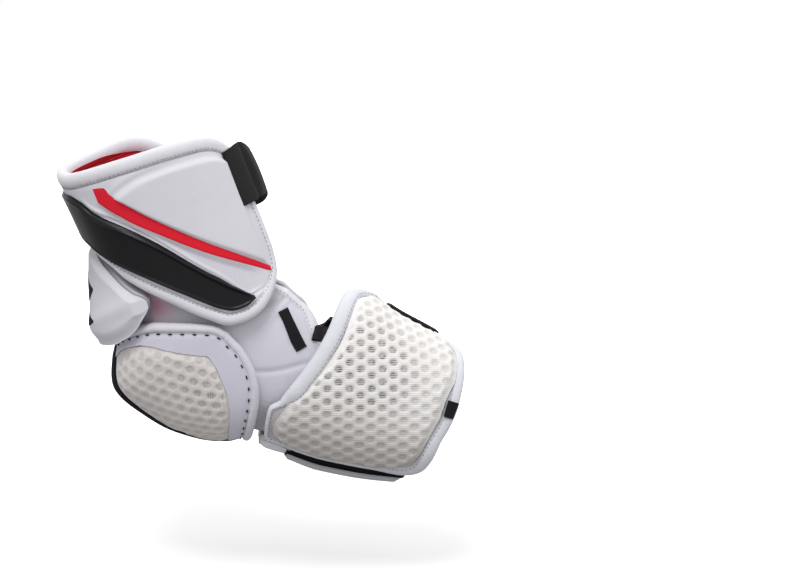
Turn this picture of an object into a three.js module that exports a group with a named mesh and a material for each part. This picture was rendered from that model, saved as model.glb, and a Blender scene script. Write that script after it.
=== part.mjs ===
// Hockey elbow pad in the bent form in which it is worn, in millimetres, +Z up.
// The arm lies in the XZ plane: the upper arm rises and leans back, the forearm runs towards +X, and the
// outer side of the arm faces -Y. The origin is the centre of the elbow joint.
//
// Every piece is a patch of one arm form. A place on that form has two coordinates: "at", how far along the
// arm's bent axis it lies from the middle of the bend (below 0 towards the shoulder, above 0 towards the
// wrist), and "turn", the angle round the axis (0 in the crook, 90 on the outer side, 180 at the elbow's
// point, 270 on the inner side). A lift is a height above the sleeve's outside.

import * as THREE from "three";

// The arm's bent axis and its form, which is the sleeve's outside
const upperArmLean = 20; // degrees from upright
const forearmDrop = 16; // degrees below level
const bendRadius = 102;
const upperReach = 166; // from the middle of the bend to the top rim
const foreReach = 168; // from the middle of the bend to the wrist rim
const armFront = 61;
const armBack = 65;
const armSide = 46;
const squareness = 2.4; // 2 is an ellipse, and more is boxier
const layerGap = 0.35; // between layers that are sewn together
const looseGap = 1.1; // between layers that only lie on each other

// Thicknesses, widths and heights of the pieces
const sleeveThickness = 4.5;
const liningThickness = 2;
const sleeveRollWidth = 6;
const guardThickness = 8.5;
const guardEase = 10; // how far the guard stands off the sleeve, at most
const guardRollWidth = 9;
const guardTopRollWidth = 11;
const guardTuckedRollWidth = 4; // under the plate, at the back
const plateThickness = 2.6;
const stripeThickness = 0.8;
const shellThickness = 5;
const shellEase = 16; // how far the forearm shell flares off the sleeve, at most
const shellRollWidth = 8;
const shellTuckedRollWidth = 3.5; // beside the cap
const meshThickness = 3.8; // with its bedding
const capCoverThickness = 1.8;
const coreGap = 1.3; // between the cap's core and its covers
const capRollWidth = 6.5;
const capHeight = 19; // of the cap's foam over the elbow's point
const capSpineThickness = 2.4;
const spineThickness = 6.6; // of the forearm's spine
const pipingHeight = 2.2;
const wedgeHeight = 27;
const strapThickness = 2;
const tabThickness = 2.4;
const tagThickness = 0.8;
const inlayThickness = 0.5;
const rollSides = 6;
const rollPuff = 0.6; // how far an edge roll stands proud of the wall that it ends

// Half sizes of the arm's form along the arm, as shares of armFront, armBack and armSide.
// "at" is a share of upperReach where it is below 0, and of foreReach where it is above 0.
const armRows = [
  { at: -1.0, front: 0.72, back: 0.71, side: 0.95 },
  { at: -0.66, front: 0.72, back: 0.71, side: 0.95 },
  { at: -0.36, front: 0.75, back: 0.75, side: 0.98 },
  { at: -0.24, front: 0.79, back: 0.84, side: 0.99 },
  { at: -0.13, front: 0.88, back: 0.99, side: 1.0 },
  { at: 0.0, front: 1.0, back: 0.94, side: 1.0 },
  { at: 0.1, front: 0.99, back: 0.83, side: 0.99 },
  { at: 0.16, front: 0.97, back: 0.75, side: 0.98 },
  { at: 0.21, front: 0.95, back: 0.69, side: 0.96 },
  { at: 0.29, front: 0.89, back: 0.665, side: 0.935 },
  { at: 0.36, front: 0.85, back: 0.66, side: 0.92 },
  { at: 0.6, front: 0.76, back: 0.63, side: 0.87 },
  { at: 1.0, front: 0.62, back: 0.53, side: 0.75 },
];

// Lifts of the guards' insides beyond the lining, as shares of guardEase and of shellEase
const guardEaseRows = [
  { at: -1.0, front: 0.6, back: 0.85, side: 0.15 },
  { at: -0.91, front: 0.64, back: 0.62, side: 0.12 },
  { at: -0.84, front: 0.68, back: 0.42, side: 0.08 },
  { at: -0.62, front: 0.84, back: 0.16, side: 0.02 },
  { at: -0.49, front: 0.94, back: 0.1, side: 0.0 },
  { at: -0.27, front: 0.7, back: 0.1, side: 0.0 },
  { at: -0.12, front: 0.2, back: 0.0, side: 0.0 },
];
const shellEaseRows = [
  { at: 0.25, front: 0.14, back: 0.0, side: 0.0 },
  { at: 0.36, front: 0.62, back: 0.14, side: 0.02 },
  { at: 0.51, front: 0.82, back: 0.34, side: 0.03 },
  { at: 0.65, front: 0.54, back: 0.33, side: 0.02 },
  { at: 0.83, front: 0.36, back: 0.22, side: 0.0 },
  { at: 1.0, front: 0.04, back: 0.0, side: 0.0 },
];

// Lifts of the elbow cap's outside and of the wedge's outside, as shares of capHeight and of wedgeHeight
const capRows = [
  { at: -0.26, front: 0.3, back: 0.5, side: 0.36 },
  { at: -0.2, front: 0.35, back: 0.72, side: 0.4 },
  { at: -0.12, front: 0.38, back: 1.0, side: 0.42 },
  { at: -0.04, front: 0.4, back: 0.86, side: 0.42 },
  { at: 0.05, front: 0.4, back: 0.74, side: 0.42 },
  { at: 0.11, front: 0.38, back: 0.68, side: 0.42 },
  { at: 0.17, front: 0.36, back: 0.54, side: 0.4 },
  { at: 0.21, front: 0.3, back: 0.34, side: 0.36 },
  { at: 0.25, front: 0.28, back: 0.24, side: 0.3 },
];
const wedgeRows = [
  { at: -0.6, front: 0.3, back: 0.54, side: 0.34 },
  { at: -0.45, front: 0.4, back: 0.82, side: 0.48 },
  { at: -0.3, front: 0.4, back: 0.98, side: 0.57 },
  { at: -0.2, front: 0.4, back: 0.95, side: 0.57 },
];

const degrees = Math.PI / 180;
const mix = (a, b, share) => a + (b - a) * share;
const ease = (x) => x * x * (3 - 2 * x);
const clamp = THREE.MathUtils.clamp;

// A column of a table read at x by a smooth curve through its rows that doesn't overshoot them
function read(rows, key, column, x) {
  if (x <= rows[0][key]) return rows[0][column];
  const last = rows.length - 1;
  if (x >= rows[last][key]) return rows[last][column];
  const i = rows.findIndex((row) => row[key] > x) - 1;
  const rise = (k) => (rows[k + 1][column] - rows[k][column]) / (rows[k + 1][key] - rows[k][key]);
  const slope = (k) => {
    if (k === 0) return rise(0);
    if (k === last) return rise(last - 1);
    const before = rise(k - 1);
    const after = rise(k);
    return before * after > 0 ? (2 * before * after) / (before + after) : 0;
  };
  const span = rows[i + 1][key] - rows[i][key];
  const s = (x - rows[i][key]) / span;
  const start = rows[i][column] * (1 + 2 * s) * (1 - s) ** 2 + slope(i) * span * s * (1 - s) ** 2;
  return start + rows[i + 1][column] * s * s * (3 - 2 * s) + slope(i + 1) * span * s * s * (s - 1);
}

// A table with a row on the outer side of the arm repeated on the inner side
function mirrored(rows) {
  const inner = rows.filter((row) => row.turn < 180).map((row) => ({ ...row, turn: 360 - row.turn }));
  return [...rows, ...inner.reverse()];
}

// Shares along the arm, and back
const along = (share) => share * (share < 0 ? upperReach : foreReach);
const shareOf = (at) => at / (at < 0 ? upperReach : foreReach);

// The arm's bent axis: a point on it, and the direction to the crook, at a distance from the bend's middle
const crookMiddle = (upperArmLean + 90 - forearmDrop) / 2; // degrees from +X, at the middle of the bend
const halfBend = (90 - forearmDrop - upperArmLean) / 2;
const halfArc = bendRadius * halfBend * degrees;
const crookCentre = bendRadius / Math.cos(halfBend * degrees);
const inPlane = (angle) => new THREE.Vector3(Math.cos(angle * degrees), 0, Math.sin(angle * degrees));

function axisAt(at) {
  const bent = clamp(at, -halfArc, halfArc);
  const angle = crookMiddle + bent / bendRadius / degrees;
  const crook = inPlane(angle);
  const centre = inPlane(crookMiddle).multiplyScalar(crookCentre);
  const point = centre.addScaledVector(crook, -bendRadius).addScaledVector(inPlane(angle - 90), at - bent);
  return { point, crook };
}

// A point of the arm's form at a place, raised by the lifts of a form and by one height more
const outerSide = new THREE.Vector3(0, -1, 0);

function skin(form, at, turn, height) {
  const share = shareOf(at);
  const lifts = form(share);
  const c = Math.cos(turn * degrees);
  const s = Math.sin(turn * degrees);
  const depth = c > 0
    ? armFront * read(armRows, "at", "front", share) + lifts.front
    : armBack * read(armRows, "at", "back", share) + lifts.back;
  const width = armSide * read(armRows, "at", "side", share) + lifts.side;
  const sum = Math.abs(c / (depth + height)) ** squareness + Math.abs(s / (width + height)) ** squareness;
  const radius = sum ** (-1 / squareness);
  const { point, crook } = axisAt(at);
  return point.addScaledVector(crook, radius * c).addScaledVector(outerSide, radius * s);
}

// Forms: the lifts of a piece's base, even all round or from a table
const even = (lift) => () => ({ front: lift, back: lift, side: lift });

function shaped(base, size, rows) {
  return (share) => ({
    front: base + size * read(rows, "at", "front", share),
    back: base + size * read(rows, "at", "back", share),
    side: base + size * read(rows, "at", "side", share),
  });
}

const liningRoom = liningThickness + 2 * looseGap;
const armForm = even(0);
const guardForm = shaped(liningRoom, guardEase, guardEaseRows);
const shellForm = shaped(liningRoom, shellEase, shellEaseRows);
const capForm = shaped(looseGap, capHeight, capRows);
const wedgeForm = shaped(looseGap, wedgeHeight, wedgeRows);

// The wedge's lower end rests on the cap's upper edge
const wedgeUnderside = (share) => {
  const cap = capForm(share + (capRollWidth + looseGap) / upperReach);
  const step = ease(clamp((share + 0.35) / 0.07, 0, 1));
  const lift = (column) => mix(looseGap, cap[column] + rollPuff + looseGap, step);
  return { front: lift("front"), back: lift("back"), side: lift("side") };
};

// Areas: u runs round the arm or along the piece, and v across it, both from 0 to 1. An area gives the
// place of each u and v, and tells how many millimetres a place lies inside its edges.
// An outline has its ends at two turns, its edges from a table, and round corners in millimetres.
const degreesPerMm = 1 / (armSide * degrees);

function outline({ rows, corners = {}, inset = 0, insetLow = inset }) {
  const start = rows[0].turn + inset * degreesPerMm;
  const end = rows[rows.length - 1].turn - inset * degreesPerMm;
  const cut = (radius, distance) =>
    radius && distance < radius ? radius - Math.sqrt(radius ** 2 - (radius - Math.max(distance, 0)) ** 2) : 0;
  const edges = (turn) => {
    const fromStart = (turn - start) / degreesPerMm;
    const toEnd = (end - turn) / degreesPerMm;
    const low = along(read(rows, "turn", "low", turn)) + insetLow;
    const high = along(read(rows, "turn", "high", turn)) - inset;
    return {
      low: low + cut(corners.startLow, fromStart) + cut(corners.endLow, toEnd),
      high: high - cut(corners.startHigh, fromStart) - cut(corners.endHigh, toEnd),
      sides: Math.min(fromStart, toEnd),
    };
  };
  const place = (u, v) => {
    const turn = mix(start, end, u);
    const { low, high } = edges(turn);
    return { at: mix(low, high, v), turn };
  };
  const inside = (at, turn) => {
    const { low, high, sides } = edges(turn);
    return Math.min(at - low, high - at, sides);
  };
  return { place, inside };
}

// A ribbon lies between two edges that a table pairs row by row
function ribbon(rows) {
  const placed = rows.map((row) => ({ ...row, atA: along(row.atA), atB: along(row.atB) }));
  let length = 0;
  placed.forEach((row, i) => {
    if (i > 0) {
      const before = placed[i - 1];
      const run = (row.atA + row.atB - before.atA - before.atB) / 2;
      const sweep = (row.turnA + row.turnB - before.turnA - before.turnB) / 2 / degreesPerMm;
      length += Math.hypot(run, sweep);
    }
    row.length = length;
  });
  const place = (u, v) => {
    const [atA, turnA, atB, turnB] = ["atA", "turnA", "atB", "turnB"].map((column) =>
      read(placed, "length", column, u * length));
    return { at: mix(atA, atB, v), turn: mix(turnA, turnB, v) };
  };
  return { place, inside: () => Infinity };
}

// A face is a surface over the arm: a form, a lift above it, and how far it falls towards an area's edges
function face(form, lift, edge) {
  return (at, turn) => {
    const height = typeof lift === "function" ? lift(at, turn) : lift;
    const fall = edge ? edge.fall * (1 - ease(clamp(edge.area.inside(at, turn) / edge.width, 0, 1))) : 0;
    return skin(form, at, turn, height - fall);
  };
}

// A closed geometry from corners and quads, turned so that it faces outwards
function geometryOf(points, quads) {
  const triangles = quads.flatMap(([a, b, c, d]) => [[a, b, c], [a, c, d]]);
  const volume = ([a, b, c]) => points[a].dot(points[b].clone().cross(points[c]));
  const outwards = triangles.reduce((sum, triangle) => sum + volume(triangle), 0) > 0;
  const geometry = new THREE.BufferGeometry();
  const corners = new Float32Array(points.flatMap((p) => [p.x, p.y, p.z]));
  geometry.setAttribute("position", new THREE.BufferAttribute(corners, 3));
  geometry.setIndex(triangles.flatMap(([a, b, c]) => (outwards ? [a, b, c] : [a, c, b])));
  geometry.computeVertexNormals();
  return geometry;
}

// Steps from 0 to 1 that lie closer together at both ends
const steps = (count) =>
  Array.from({ length: count + 1 }, (_, i) => mix(i / count, 0.5 - 0.5 * Math.cos((Math.PI * i) / count), 0.5));

// A wall's grid of inner and outer points, and its places along the rim, once round
function gridOf({ area, inner, outer, round, long }) {
  const us = steps(round);
  const vs = steps(long);
  const cells = us.flatMap((u) => vs.map((v) => {
    const { at, turn } = area.place(u, v);
    return { turn, v, inner: inner(at, turn), outer: outer(at, turn) };
  }));
  const cell = (i, j) => i * vs.length + j;
  const rim = [
    ...us.slice(0, -1).map((_, i) => cell(i, 0)),
    ...vs.slice(0, -1).map((_, j) => cell(round, j)),
    ...us.slice(0, -1).map((_, i) => cell(round - i, long)),
    ...vs.slice(0, -1).map((_, j) => cell(0, long - j)),
  ];
  return { cells, cell, rim };
}

// A wall: the solid between two faces over an area
function wallGeometry(wall) {
  const { cells, cell, rim } = gridOf(wall);
  const over = cells.length;
  const quads = [];
  for (let i = 0; i < wall.round; i++) {
    for (let j = 0; j < wall.long; j++) {
      const quad = [cell(i, j), cell(i, j + 1), cell(i + 1, j + 1), cell(i + 1, j)];
      quads.push(quad);
      quads.push([quad[0], quad[3], quad[2], quad[1]].map((k) => k + over));
    }
  }
  rim.forEach((a, k) => {
    const b = rim[(k + 1) % rim.length];
    quads.push([a, b, b + over, a + over]);
  });
  return geometryOf([...cells.map((c) => c.inner), ...cells.map((c) => c.outer)], quads);
}

// An edge roll: a closed ring of round section that lies along a wall's rim, as wide as widthAt tells
const flatTop = Math.cos(Math.PI / rollSides);

function rollGeometry(wall, widthAt) {
  const { cells, rim } = gridOf(wall);
  const middles = rim.map((k) => cells[k].inner.clone().add(cells[k].outer).multiplyScalar(0.5));
  const points = rim.flatMap((k, i) => {
    const before = middles[(i + rim.length - 1) % rim.length];
    const after = middles[(i + 1) % rim.length];
    const tangent = after.clone().sub(before).normalize();
    const up = cells[k].outer.clone().sub(cells[k].inner);
    const halfHeight = (up.length() + rollPuff) / 2;
    up.normalize();
    const out = tangent.clone().cross(up).normalize();
    const halfWidth = widthAt(cells[k].turn, cells[k].v) / 2;
    const centre = middles[i].clone().addScaledVector(out, halfWidth + layerGap).addScaledVector(up, rollPuff / 2);
    return Array.from({ length: rollSides }, (_, side) => {
      const angle = (side / rollSides) * 2 * Math.PI;
      return centre.clone()
        .addScaledVector(out, Math.cos(angle) * halfWidth)
        .addScaledVector(up, (Math.sin(angle) * halfHeight) / flatTop);
    });
  });
  const quads = [];
  for (let i = 0; i < rim.length; i++) {
    const here = i * rollSides;
    const next = ((i + 1) % rim.length) * rollSides;
    for (let side = 0; side < rollSides; side++) {
      const after = (side + 1) % rollSides;
      quads.push([here + side, next + side, next + after, here + after]);
    }
  }
  return geometryOf(points, quads);
}

// Materials
const finish = (color, roughness) => new THREE.MeshStandardMaterial({ color, roughness, metalness: 0 });
const whiteFabric = finish(0xe6e5ec, 0.75);
const whiteRoll = finish(0xf2f2f6, 0.7);
const whiteMesh = finish(0xf1eeec, 0.8);
const greyFabric = finish(0xc9cad0, 0.8);
const whiteShell = finish(0xe6e4ea, 0.5);
const redPrint = finish(0xe0202e, 0.6);
const redLining = finish(0xc2202a, 0.8);
const blackRubber = finish(0x1c1d20, 0.4);
const blackFabric = finish(0x1d1e22, 0.85);
const darkWebbing = finish(0x343635, 0.8);
const hookGrey = finish(0x55575a, 0.8);

const pad = new THREE.Group();

function add(name, material, geometry) {
  const mesh = new THREE.Mesh(geometry, material);
  mesh.name = name;
  pad.add(mesh);
}

const addWall = (name, material, wall) => add(name, material, wallGeometry(wall));

// Sleeve: the soft middle that joins the two guards, open along the crook
const sleeveRows = mirrored([
  { turn: 20, low: -0.27, high: 0.27 },
  { turn: 32, low: -0.33, high: 0.31 },
  { turn: 50, low: -0.42, high: 0.38 },
  { turn: 70, low: -0.5, high: 0.46 },
  { turn: 90, low: -0.56, high: 0.52 },
  { turn: 180, low: -0.66, high: 0.55 },
]);
const sleeveCorners = { startLow: 16, endLow: 16, startHigh: 14, endHigh: 14 };
const sleeveArea = outline({ rows: sleeveRows, corners: sleeveCorners, inset: sleeveRollWidth + layerGap });
const sleeve = {
  area: sleeveArea,
  inner: face(armForm, -sleeveThickness),
  outer: face(armForm, 0, { area: sleeveArea, fall: 0.8, width: 7 }),
  round: 17,
  long: 8,
};
addWall("sleeve", whiteFabric, sleeve);
add("sleeve_roll", whiteRoll, rollGeometry(sleeve, () => sleeveRollWidth));
addWall("sleeve_lining", redLining, {
  ...sleeve,
  inner: face(armForm, -sleeveThickness - layerGap - liningThickness),
  outer: face(armForm, -sleeveThickness - layerGap),
});
addWall("sleeve_tag", blackFabric, {
  area: ribbon([
    { turnA: 42, atA: 0.042, turnB: 35, atB: 0.065 },
    { turnA: 52, atA: 0.15, turnB: 45, atB: 0.18 },
    { turnA: 60, atA: 0.25, turnB: 54, atB: 0.288 },
  ]),
  inner: face(armForm, layerGap),
  outer: face(armForm, layerGap + tagThickness),
  round: 5,
  long: 2,
});

// Upper guard: a thick padded shell round the back and the outer side, with a flap on the inner side
const guardRows = [
  { turn: 20, low: -0.81, high: -0.3 },
  { turn: 26, low: -0.845, high: -0.19 },
  { turn: 34, low: -0.875, high: -0.13 },
  { turn: 44, low: -0.9, high: -0.09 },
  { turn: 55, low: -0.918, high: -0.072 },
  { turn: 73, low: -0.928, high: -0.105 },
  { turn: 81, low: -0.931, high: -0.16 },
  { turn: 98, low: -0.933, high: -0.26 },
  { turn: 116, low: -0.936, high: -0.36 },
  { turn: 130, low: -0.937, high: -0.44 },
  { turn: 149, low: -0.94, high: -0.53 },
  { turn: 161, low: -0.948, high: -0.585 },
  { turn: 180, low: -0.965, high: -0.62 },
  { turn: 210, low: -0.975, high: -0.58 },
  { turn: 235, low: -0.98, high: -0.47 },
  { turn: 250, low: -0.984, high: -0.39 },
  { turn: 265, low: -0.965, high: -0.34 },
  { turn: 280, low: -0.91, high: -0.31 },
  { turn: 300, low: -0.79, high: -0.36 },
];
const guardArea = outline({
  rows: guardRows,
  corners: { startLow: 14, startHigh: 30, endLow: 26, endHigh: 26 },
  inset: guardRollWidth + layerGap,
  insetLow: guardTopRollWidth + layerGap,
});
const guard = {
  area: guardArea,
  inner: face(guardForm, 0),
  outer: face(guardForm, guardThickness),
  round: 22,
  long: 7,
};
addWall("upper_guard", whiteFabric, guard);
const guardRollAt = (turn, v) => {
  const tucked = ease(clamp((turn - 128) / 14, 0, 1)) * ease(clamp((236 - turn) / 18, 0, 1));
  return mix(guardTopRollWidth, mix(guardRollWidth, guardTuckedRollWidth, tucked), clamp(v * 5, 0, 1));
};
add("upper_guard_roll", whiteRoll, rollGeometry(guard, guardRollAt));

// What lies on the guard follows its outside
const onGuard = (lift) => face(guardForm, guardThickness + layerGap + lift);
addWall("upper_guard_stripe", redPrint, {
  area: outline({
    rows: [
      { turn: 35.5, low: -0.318, high: -0.284 },
      { turn: 72, low: -0.506, high: -0.45 },
      { turn: 100, low: -0.669, high: -0.597 },
      { turn: 113, low: -0.755, high: -0.669 },
      { turn: 119, low: -0.795, high: -0.71 },
      { turn: 123, low: -0.84, high: -0.735 },
      { turn: 130, low: -0.849, high: -0.789 },
    ],
  }),
  inner: onGuard(0),
  outer: onGuard(stripeThickness),
  round: 18,
  long: 2,
});
addWall("upper_guard_plate", blackRubber, {
  area: outline({
    rows: [
      { turn: 55.5, low: -0.178, high: -0.158 },
      { turn: 62, low: -0.262, high: -0.148 },
      { turn: 70, low: -0.331, high: -0.163 },
      { turn: 78, low: -0.386, high: -0.207 },
      { turn: 85, low: -0.437, high: -0.257 },
      { turn: 102, low: -0.56, high: -0.355 },
      { turn: 119, low: -0.663, high: -0.45 },
      { turn: 137, low: -0.757, high: -0.54 },
      { turn: 145, low: -0.83, high: -0.577 },
      { turn: 156, low: -0.86, high: -0.625 },
      { turn: 180, low: -0.865, high: -0.686 },
      { turn: 206, low: -0.855, high: -0.65 },
      { turn: 218, low: -0.77, high: -0.61 },
      { turn: 236, low: -0.64, high: -0.53 },
    ],
  }),
  inner: onGuard(0),
  outer: onGuard(plateThickness),
  round: 20,
  long: 3,
});
addWall("upper_flap_pile", greyFabric, {
  area: outline({
    rows: [
      { turn: 244, low: -0.78, high: -0.55 },
      { turn: 262, low: -0.78, high: -0.46 },
      { turn: 289, low: -0.7, high: -0.46 },
    ],
    corners: { startLow: 8, startHigh: 8, endLow: 12, endHigh: 12 },
  }),
  inner: onGuard(0),
  outer: onGuard(stripeThickness),
  round: 6,
  long: 4,
});
addWall("upper_lining", redLining, {
  area: outline({ rows: guardRows, inset: guardRollWidth + layerGap, insetLow: guardTopRollWidth + layerGap,
    corners: { startLow: 14, startHigh: 30, endLow: 26, endHigh: 26 } }),
  inner: face(guardForm, -layerGap - liningThickness),
  outer: face(guardForm, -layerGap),
  round: 22,
  long: 7,
});

// Upper strap: it folds over the guard's front edge and crosses to the flap
const strapRise = [
  { turn: -74, lift: 1.2 },
  { turn: -58, lift: 2.2 },
  { turn: -30, lift: 2.3 },
  { turn: 8, lift: 1.4 },
  { turn: 24, lift: 1.1 },
  { turn: 40, lift: 0.1 },
];
const strapLift = (rows, over) => (at, turn) => over + read(rows, "turn", "lift", turn);
addWall("upper_strap", darkWebbing, {
  area: outline({
    rows: [
      { turn: -70, low: -0.7, high: -0.49 },
      { turn: -30, low: -0.74, high: -0.52 },
      { turn: 8, low: -0.8, high: -0.58 },
      { turn: 22, low: -0.825, high: -0.578 },
      { turn: 40, low: -0.81, high: -0.576 },
    ],
  }),
  inner: face(guardForm, strapLift(strapRise, guardThickness + layerGap)),
  outer: face(guardForm, strapLift(strapRise, guardThickness + layerGap + strapThickness)),
  round: 16,
  long: 3,
});
addWall("upper_strap_tab", hookGrey, {
  area: outline({
    rows: [
      { turn: -84, low: -0.66, high: -0.52 },
      { turn: -76, low: -0.69, high: -0.48 },
      { turn: -52, low: -0.72, high: -0.5 },
    ],
  }),
  inner: face(guardForm, strapLift(strapRise, guardThickness + 2 * layerGap + strapThickness)),
  outer: face(guardForm, strapLift(strapRise, guardThickness + 2 * layerGap + strapThickness + tabThickness)),
  round: 5,
  long: 3,
});

// Wedge: the faceted block at the back between the guard and the cap
const wedgeArea = outline({
  rows: mirrored([
    { turn: 117.5, low: -0.345, high: -0.318 },
    { turn: 122, low: -0.371, high: -0.293 },
    { turn: 127, low: -0.391, high: -0.273 },
    { turn: 133, low: -0.424, high: -0.256 },
    { turn: 141, low: -0.487, high: -0.244 },
    { turn: 150, low: -0.541, high: -0.239 },
    { turn: 161, low: -0.592, high: -0.243 },
    { turn: 180, low: -0.622, high: -0.248 },
  ]),
});
const wedgeEdge = { area: wedgeArea, fall: 4.5, width: 14 };
addWall("back_wedge", whiteShell, {
  area: wedgeArea,
  inner: face(wedgeUnderside, 0),
  outer: face(wedgeForm, 0, wedgeEdge),
  round: 14,
  long: 6,
});
addWall("back_wedge_inlay", blackFabric, {
  area: outline({
    rows: [
      { turn: 171, low: -0.5, high: -0.31 },
      { turn: 180, low: -0.52, high: -0.3 },
      { turn: 189, low: -0.5, high: -0.31 },
    ],
  }),
  inner: face(wedgeForm, layerGap, wedgeEdge),
  outer: face(wedgeForm, layerGap + inlayThickness, wedgeEdge),
  round: 4,
  long: 5,
});

// Elbow cap: a black core with a mesh cover on both sides, a band round each, and a spine between them
const capEdgeRows = mirrored([
  { turn: 88.3, low: -0.085, high: -0.005 },
  { turn: 91, low: -0.118, high: 0.045 },
  { turn: 97, low: -0.147, high: 0.1 },
  { turn: 107, low: -0.181, high: 0.141 },
  { turn: 118, low: -0.209, high: 0.164 },
  { turn: 129, low: -0.23, high: 0.178 },
  { turn: 138, low: -0.236, high: 0.186 },
  { turn: 150, low: -0.236, high: 0.193 },
  { turn: 165, low: -0.225, high: 0.198 },
  { turn: 180, low: -0.22, high: 0.2 },
]);
const capArea = outline({ rows: capEdgeRows });
const capCore = {
  area: capArea,
  inner: face(armForm, looseGap),
  outer: face(capForm, -capCoverThickness - coreGap),
  round: 18,
  long: 8,
};
addWall("elbow_cap", blackFabric, capCore);
add("elbow_cap_roll", whiteRoll, rollGeometry({ ...capCore, outer: face(capForm, 0) }, () => capRollWidth));
const bandRows = [
  { turnA: 166, atA: -0.2235, turnB: 166, atB: -0.2005 },
  { turnA: 150, atA: -0.235, turnB: 151, atB: -0.2155 },
  { turnA: 138, atA: -0.235, turnB: 140, atB: -0.212 },
  { turnA: 128, atA: -0.2275, turnB: 132, atB: -0.197 },
  { turnA: 118, atA: -0.208, turnB: 122, atB: -0.157 },
  { turnA: 107, atA: -0.18, turnB: 113, atB: -0.115 },
  { turnA: 97, atA: -0.146, turnB: 106.5, atB: -0.083 },
  { turnA: 91, atA: -0.116, turnB: 104.2, atB: -0.072 },
  { turnA: 88.8, atA: -0.083, turnB: 103.8, atB: -0.06 },
  { turnA: 88.8, atA: -0.005, turnB: 105, atB: -0.02 },
  { turnA: 91.2, atA: 0.043, turnB: 108.5, atB: 0.022 },
  { turnA: 97, atA: 0.098, turnB: 113.5, atB: 0.066 },
  { turnA: 107, atA: 0.1395, turnB: 120, atB: 0.1 },
  { turnA: 121, atA: 0.166, turnB: 132, atB: 0.133 },
  { turnA: 142, atA: 0.187, turnB: 148, atB: 0.157 },
  { turnA: 166, atA: 0.197, turnB: 166, atB: 0.169 },
];
const meshRows = [
  { turn: 105.4, low: -0.064, high: -0.038 },
  { turn: 107, low: -0.077, high: -0.008 },
  { turn: 112, low: -0.102, high: 0.044 },
  { turn: 118, low: -0.13, high: 0.081 },
  { turn: 125, low: -0.163, high: 0.107 },
  { turn: 136, low: -0.196, high: 0.135 },
  { turn: 151, low: -0.206, high: 0.154 },
  { turn: 166, low: -0.195, high: 0.164 },
];
const otherTurn = (row) => ({ ...row, turnA: 360 - row.turnA, turnB: 360 - row.turnB });
const capSides = {
  outer: { band: bandRows, mesh: meshRows },
  inner: {
    band: bandRows.map(otherTurn),
    mesh: [...meshRows].reverse().map((row) => ({ ...row, turn: 360 - row.turn })),
  },
};
Object.entries(capSides).forEach(([side, rows]) => {
  addWall(`elbow_cap_band_${side}`, whiteFabric, {
    area: ribbon(rows.band),
    inner: face(capForm, -capCoverThickness),
    outer: face(capForm, 0),
    round: 18,
    long: 2,
  });
  addWall(`elbow_cap_mesh_${side}`, whiteMesh, {
    area: outline({ rows: rows.mesh }),
    inner: face(capForm, -capCoverThickness),
    outer: face(capForm, 0.8),
    round: 9,
    long: 6,
  });
});
addWall("elbow_cap_spine", blackFabric, {
  area: outline({
    rows: [
      { turn: 166.6, low: -0.219, high: 0.196 },
      { turn: 193.4, low: -0.219, high: 0.196 },
    ],
  }),
  inner: face(capForm, -capCoverThickness),
  outer: face(capForm, capSpineThickness - capCoverThickness),
  round: 4,
  long: 10,
});

// Forearm shell: the padded outer side with its mesh panel, open at the crook
const shellRows = [
  { turn: -7, low: 0.5, high: 0.88 },
  { turn: -3, low: 0.455, high: 0.925 },
  { turn: 4, low: 0.42, high: 0.945 },
  { turn: 24, low: 0.375, high: 0.968 },
  { turn: 47, low: 0.351, high: 0.98 },
  { turn: 69, low: 0.315, high: 0.982 },
  { turn: 89, low: 0.273, high: 0.97 },
  { turn: 100, low: 0.246, high: 0.957 },
  { turn: 106, low: 0.218, high: 0.952 },
  { turn: 112, low: 0.187, high: 0.949 },
  { turn: 121, low: 0.193, high: 0.943 },
  { turn: 136, low: 0.207, high: 0.925 },
  { turn: 150, low: 0.219, high: 0.895 },
];
const shellArea = outline({
  rows: shellRows,
  corners: { startLow: 10, startHigh: 14, endLow: 3, endHigh: 8 },
  inset: shellRollWidth + layerGap,
});
const shell = {
  area: shellArea,
  inner: face(shellForm, 0),
  outer: face(shellForm, shellThickness),
  round: 18,
  long: 8,
};
addWall("forearm_shell", greyFabric, shell);
const shellRollAt = (turn, v) =>
  mix(shellRollWidth, shellTuckedRollWidth, ease(clamp((turn - 101) / 9, 0, 1)) * (1 - clamp(v * 5, 0, 1)));
add("forearm_shell_roll", whiteRoll, rollGeometry(shell, shellRollAt));
const onShell = (lift) => face(shellForm, shellThickness + layerGap + lift);
addWall("forearm_mesh", whiteMesh, {
  area: outline({
    rows: [
      { turn: 3, low: 0.485, high: 0.84 },
      { turn: 10, low: 0.435, high: 0.88 },
      { turn: 17, low: 0.412, high: 0.908 },
      { turn: 31, low: 0.402, high: 0.93 },
      { turn: 47, low: 0.392, high: 0.935 },
      { turn: 66, low: 0.364, high: 0.915 },
      { turn: 80, low: 0.336, high: 0.912 },
      { turn: 101, low: 0.296, high: 0.889 },
      { turn: 121, low: 0.268, high: 0.87 },
      { turn: 131, low: 0.272, high: 0.81 },
      { turn: 137, low: 0.32, high: 0.64 },
      { turn: 142, low: 0.4, high: 0.46 },
    ],
  }),
  inner: face(shellForm, shellThickness + looseGap),
  outer: face(shellForm, shellThickness + meshThickness),
  round: 14,
  long: 7,
});
addWall("forearm_tag", blackFabric, {
  area: outline({
    rows: [
      { turn: 66, low: 0.925, high: 0.972 },
      { turn: 80, low: 0.925, high: 0.965 },
    ],
  }),
  inner: onShell(2 * rollPuff),
  outer: onShell(2 * rollPuff + tagThickness),
  round: 2,
  long: 2,
});

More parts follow.
